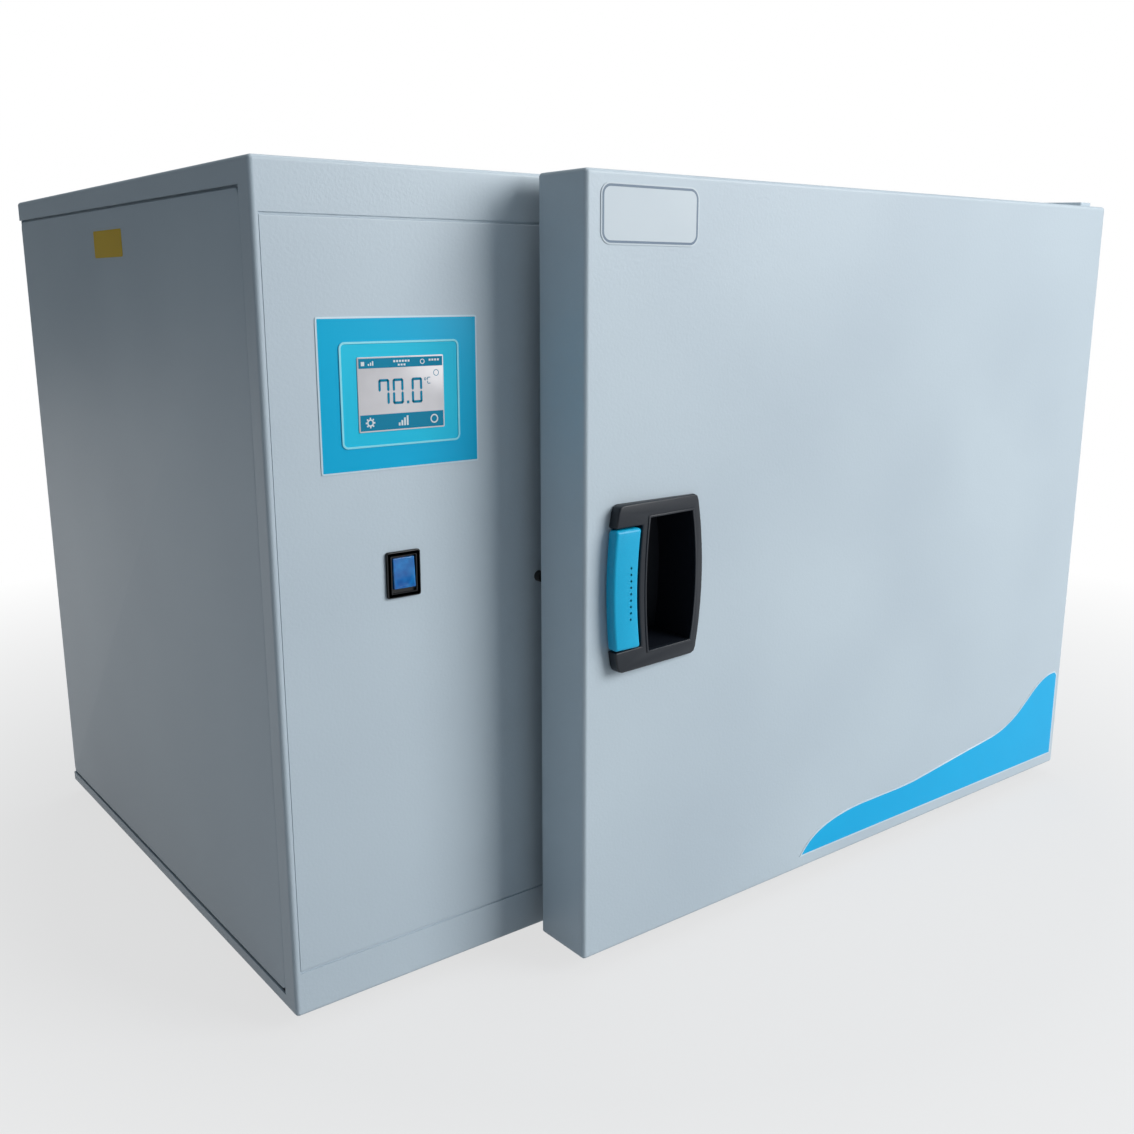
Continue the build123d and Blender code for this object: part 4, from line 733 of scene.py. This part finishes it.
def handle_body(handle):
    """Black moulding: the bowed flange, cut right through for the lever and the pocket."""
    flange = plate_from("handle_flange", handle.outline(), handle.skin, handle.front)
    back, front = handle.skin + 5 * MM, handle.front - 5 * MM
    take_away(flange, plate_from("cut", handle.pocket(), back, front))
    # The squeeze carries the grip to the right, so its room is wider on that side.
    squeeze = 2.8 * MM
    room = [(x + (squeeze if x > handle.middle.x - 32 * MM else 0), z) for x, z in handle.lever(-1.0)]
    take_away(flange, plate_from("cut", room, back, front))
    slope_front(flange, handle, handle.front)
    soften(flange, 1.2 * MM, 3, 35)
    lining = pocket_lining(handle)
    middle, bed_half = handle.middle, 50 * MM
    bed = start_block("lever_bed", (middle.x - 37 * MM, handle.skin + 0.2 * MM, middle.z - bed_half),
                      (middle.x - 11 * MM, handle.skin + 1.4 * MM, middle.z + bed_half))
    rim = pocket_rim(handle)
    body = join("handle_housing_moulding", [flange, bed, rim])
    finish_piece(body, "door", [ABS_BLACK])
    # The lining takes the darker black, which is painted shade in the pocket.
    finish_piece(lining, "door", [POCKET_BLACK_PAINTED_SHADE])
    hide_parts("handle_housing")


def take_away(piece, cutter):
    """Cuts one closed mesh out of another and deletes the cutter."""
    only(piece)
    cut = piece.modifiers.new("cut", "BOOLEAN")
    cut.operation = "DIFFERENCE"
    cut.solver = "EXACT"
    cut.object = cutter
    bpy.ops.object.modifier_apply(modifier=cut.name)
    bpy.data.objects.remove(cutter)


def pocket_lining(handle):
    """The pocket's walls and floor, drafted inwards."""
    deep, narrower, shorter = handle.skin + 33.5 * MM, 0.9, 0.94
    outline = handle.pocket()
    lining = plate_from("pocket_lining", outline, deep, handle.skin - 1.2 * MM)
    edit_faces(lining, faces_front)
    bpy.ops.mesh.delete(type="FACE")
    leave_edit_mode()
    centre_x = sum(x for x, _ in outline) / len(outline)
    for vertex in lining.data.vertices:
        if vertex.co.y > deep - MM:
            vertex.co.x = centre_x + (vertex.co.x - centre_x) * narrower
            vertex.co.z = handle.middle.z + (vertex.co.z - handle.middle.z) * shorter
    only(lining)
    wall = lining.modifiers.new("wall", "SOLIDIFY")
    wall.thickness = 0.8 * MM
    wall.offset = 1.0
    bpy.ops.object.modifier_apply(modifier=wall.name)
    return lining


def pocket_rim(handle):
    """Thin raised bead that runs round the pocket's mouth."""
    front = handle.front - 0.6 * MM
    rim = plate_from("pocket_rim", handle.pocket(1.5), handle.front + 8 * MM, front)
    take_away(rim, plate_from("cut", handle.pocket(-0.1), handle.front + 12 * MM, front - 2 * MM))
    for vertex in rim.data.vertices:
        share = (vertex.co.x - handle.low.x) / (handle.high.x - handle.low.x)
        if vertex.co.y < handle.front + 2 * MM:
            vertex.co.y += handle.fall * share
    soften(rim, 0.5 * MM, 2, 40)
    return rim


def curved_grip(handle):
    """Blue squeeze lever: bowed on both sides and round-edged, with a stem and barrels that carry its pin.

    A row of finger dots lies level with its face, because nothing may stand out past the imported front.
    """
    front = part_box("handle_lever")[0].y
    grip = plate_from("lever_grip", handle.lever(), handle.skin - 1.2 * MM, front)
    soften(grip, 2.4 * MM, 5, 50)
    parts = [grip]
    x, pitch, radius = handle.middle.x - handle.end + 10.2 * MM, 4.6 * MM, 0.95 * MM
    for step in range(9):
        z = handle.middle.z + (step - 4.6) * pitch
        bpy.ops.object.select_all(action="DESELECT")
        bpy.ops.mesh.primitive_uv_sphere_add(segments=12, ring_count=6, radius=radius, location=(0, 0, 0))
        dot = bpy.context.object
        dot.scale = (1, 0.3, 1)
        dot.location = (x, front + 0.02 * MM, z)
        bpy.ops.object.transform_apply(location=True, rotation=True, scale=True)
        parts.append(dot)
    pin_low, pin_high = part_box("lever_pin")
    pin = (pin_low + pin_high) / 2
    half = handle.lever_half
    parts.append(start_block("lever_stem", (pin.x - 2.5 * MM, handle.skin - 1.5 * MM, pin.z - half),
                             (pin.x + 1.5 * MM, pin.y - 3.5 * MM, pin.z + half)))
    for side in (-1, 1):
        centre = (pin.x, pin.y, pin.z + side * 28 * MM)
        barrel = start_disc("lever_barrel", centre, 4.5 * MM, 30 * MM, "Z")
        take_away(barrel, start_disc("cut", centre, 2.55 * MM, 40 * MM, "Z"))
        parts.append(barrel)
    grip = join("lever_grip", parts)
    keep_inside(grip, front)
    finish_piece(grip, "lever", [LEVER_BLUE], ["handle_lever"])


def keep_inside(piece, front):
    """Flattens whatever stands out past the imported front."""
    for vertex in piece.data.vertices:
        vertex.co.y = max(vertex.co.y, front)


def swept_film():
    """Bright film in the door's corner, and the clear edge that is left round its colour."""
    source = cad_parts["door_accent_film"]
    only(source)
    bpy.ops.object.duplicate()
    film = bpy.context.object
    film.parent = None
    for key in list(film.keys()):
        if key.startswith("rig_"):
            del film[key]
    film.name = "accent_film"
    film.data.materials.clear()
    film.data.materials.append(EDGE_PALE)
    film.data.materials.append(ACCENT_BLUE)
    only(film)
    bpy.ops.object.mode_set(mode="EDIT")
    bpy.ops.mesh.select_all(action="SELECT")
    bpy.ops.mesh.remove_doubles(threshold=0.01 * MM)
    bpy.ops.mesh.dissolve_limited(angle_limit=radians(2))
    leave_edit_mode()
    inset_front(film, 1.3 * MM, 0.0, 1)
    finish_piece(film, "door", [], ["door_accent_film"])


def blank_badge():
    """A plain plate with a thin slate border and nothing printed on it."""
    low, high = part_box("door_badge")
    badge = start_block("name_panel", low, high)
    round_corners(badge, "Y", 8 * MM, 8)
    badge.data.materials.append(BADGE_WHITE)
    badge.data.materials.append(BADGE_EDGE)
    edit_faces(badge, faces_front)
    bpy.ops.mesh.inset(thickness=1.0 * MM)
    bpy.ops.mesh.inset(thickness=1.6 * MM)
    leave_edit_mode()
    middle = max((f for f in badge.data.polygons if faces_front(f)), key=lambda f: f.area)
    inner = set(middle.vertices)
    for face in badge.data.polygons:
        if faces_front(face) and face.index != middle.index and inner & set(face.vertices):
            face.material_index = 1
    finish_piece(badge, "door", [], ["door_badge"])


# ---------------------------------------------------------------- room, light and camera
def floor_stage():
    """Floor that keeps the object's soft shadow and fades to white away from it."""
    leave_edit_mode()
    bpy.ops.object.select_all(action="DESELECT")
    bpy.ops.mesh.primitive_plane_add(size=14, location=(0, 0, 0))
    floor = bpy.context.object
    floor.name = "floor"
    made = bpy.data.materials.new("matt_white_floor")
    made.use_nodes = True
    tree = made.node_tree
    shader = tree.nodes["Principled BSDF"]
    shader.inputs["Base Color"].default_value = linear("#A4A9AD")
    shader.inputs["Roughness"].default_value = 0.8
    path = add(tree, "ShaderNodeLightPath")
    seen = add(tree, "ShaderNodeMath", {"operation": "MAXIMUM"},
               {0: path.outputs["Is Camera Ray"], 1: path.outputs["Is Glossy Ray"]})
    white = add(tree, "ShaderNodeEmission", {"Color": (1, 1, 1, 1), "Strength": 1.0})
    place = add(tree, "ShaderNodeTexCoord").outputs["Object"]
    away = add(tree, "ShaderNodeVectorMath", {"operation": "LENGTH"}, {0: place})
    fade = {"From Min": 0.5, "From Max": 1.3, "To Min": 0.7, "To Max": 1.0}
    near_far = add(tree, "ShaderNodeMapRange", fade, {"Value": away.outputs["Value"]})
    share = add(tree, "ShaderNodeMath", {"operation": "MULTIPLY"},
                {0: seen.outputs[0], 1: near_far.outputs["Result"]})
    mix = add(tree, "ShaderNodeMixShader", {},
              {0: share.outputs[0], 1: shader.outputs[0], 2: white.outputs[0]})
    tree.links.new(mix.outputs[0], tree.nodes["Material Output"].inputs["Surface"])
    floor.data.materials.append(made)


def white_world():
    """Dim, cool light from all round, behind a background that the camera sees as white."""
    world = bpy.data.worlds.new("studio")
    world.use_nodes = True
    tree = world.node_tree
    dim = tree.nodes["Background"]
    dim.inputs["Color"].default_value = linear("#DCE6EE")
    dim.inputs["Strength"].default_value = 0.2
    path = add(tree, "ShaderNodeLightPath")
    seen = add(tree, "ShaderNodeMath", {"operation": "MAXIMUM"},
               {0: path.outputs["Is Camera Ray"], 1: path.outputs["Is Transmission Ray"]})
    white = add(tree, "ShaderNodeBackground", {"Color": (1, 1, 1, 1), "Strength": 1.0})
    mix = add(tree, "ShaderNodeMixShader", {},
              {0: seen.outputs[0], 1: dim.outputs[0], 2: white.outputs[0]})
    tree.links.new(mix.outputs[0], tree.nodes["World Output"].inputs["Surface"])
    bpy.context.scene.world = world


def lamp(name, place, aim, size, power, colour="#FFFFFF"):
    data = bpy.data.lights.new(name, "AREA")
    data.energy = power
    data.size = size
    data.color = linear(colour)[:3]
    made = bpy.data.objects.new(name, data)
    bpy.context.scene.collection.objects.link(made)
    made.location = place
    made.rotation_euler = (Vector(aim) - Vector(place)).to_track_quat("-Z", "Y").to_euler()


def camera():
    """Eye level just under the case's top, to the left of the object and looking across it."""
    data = bpy.data.cameras.new("camera")
    data.lens, data.sensor_width = 37.96, 36.0
    data.clip_start, data.clip_end = 0.02, 60
    made = bpy.data.objects.new("camera", data)
    bpy.context.scene.collection.objects.link(made)
    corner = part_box("outer_case")[0]
    left, ahead, above = 296.7 * MM, 684.3 * MM, 483.7 * MM
    down, turned = 0.2284, 0.658
    made.location = (corner.x - left, corner.y - ahead, corner.z + above)
    made.rotation_euler = (pi / 2 - down, 0, -turned)
    bpy.context.scene.camera = made


screen_front = lit_screen(display_film())
screen_contents(screen_front)
switch_bezel()
rocker_cap()
seam_backing()
for side in ("left", "right"):
    side_cover(side)
    side_recess(side)
blank_sticker()
door_handle = Handle()
handle_body(door_handle)
curved_grip(door_handle)
swept_film()
blank_badge()
floor_stage()
white_world()
lamp("key", (2.2, -3.0, 1.9), (0.1, 0, 0.3), 2.4, 146)
lamp("fill", (-2.8, -2.6, 0.8), (0, 0, 0.3), 2.2, 2.5, "#C4DAF4")
lamp("top", (0.5, 0.1, 2.8), (0, 0, 0.3), 2.0, 26)
camera()
bpy.context.scene.view_settings.view_transform = "Standard"
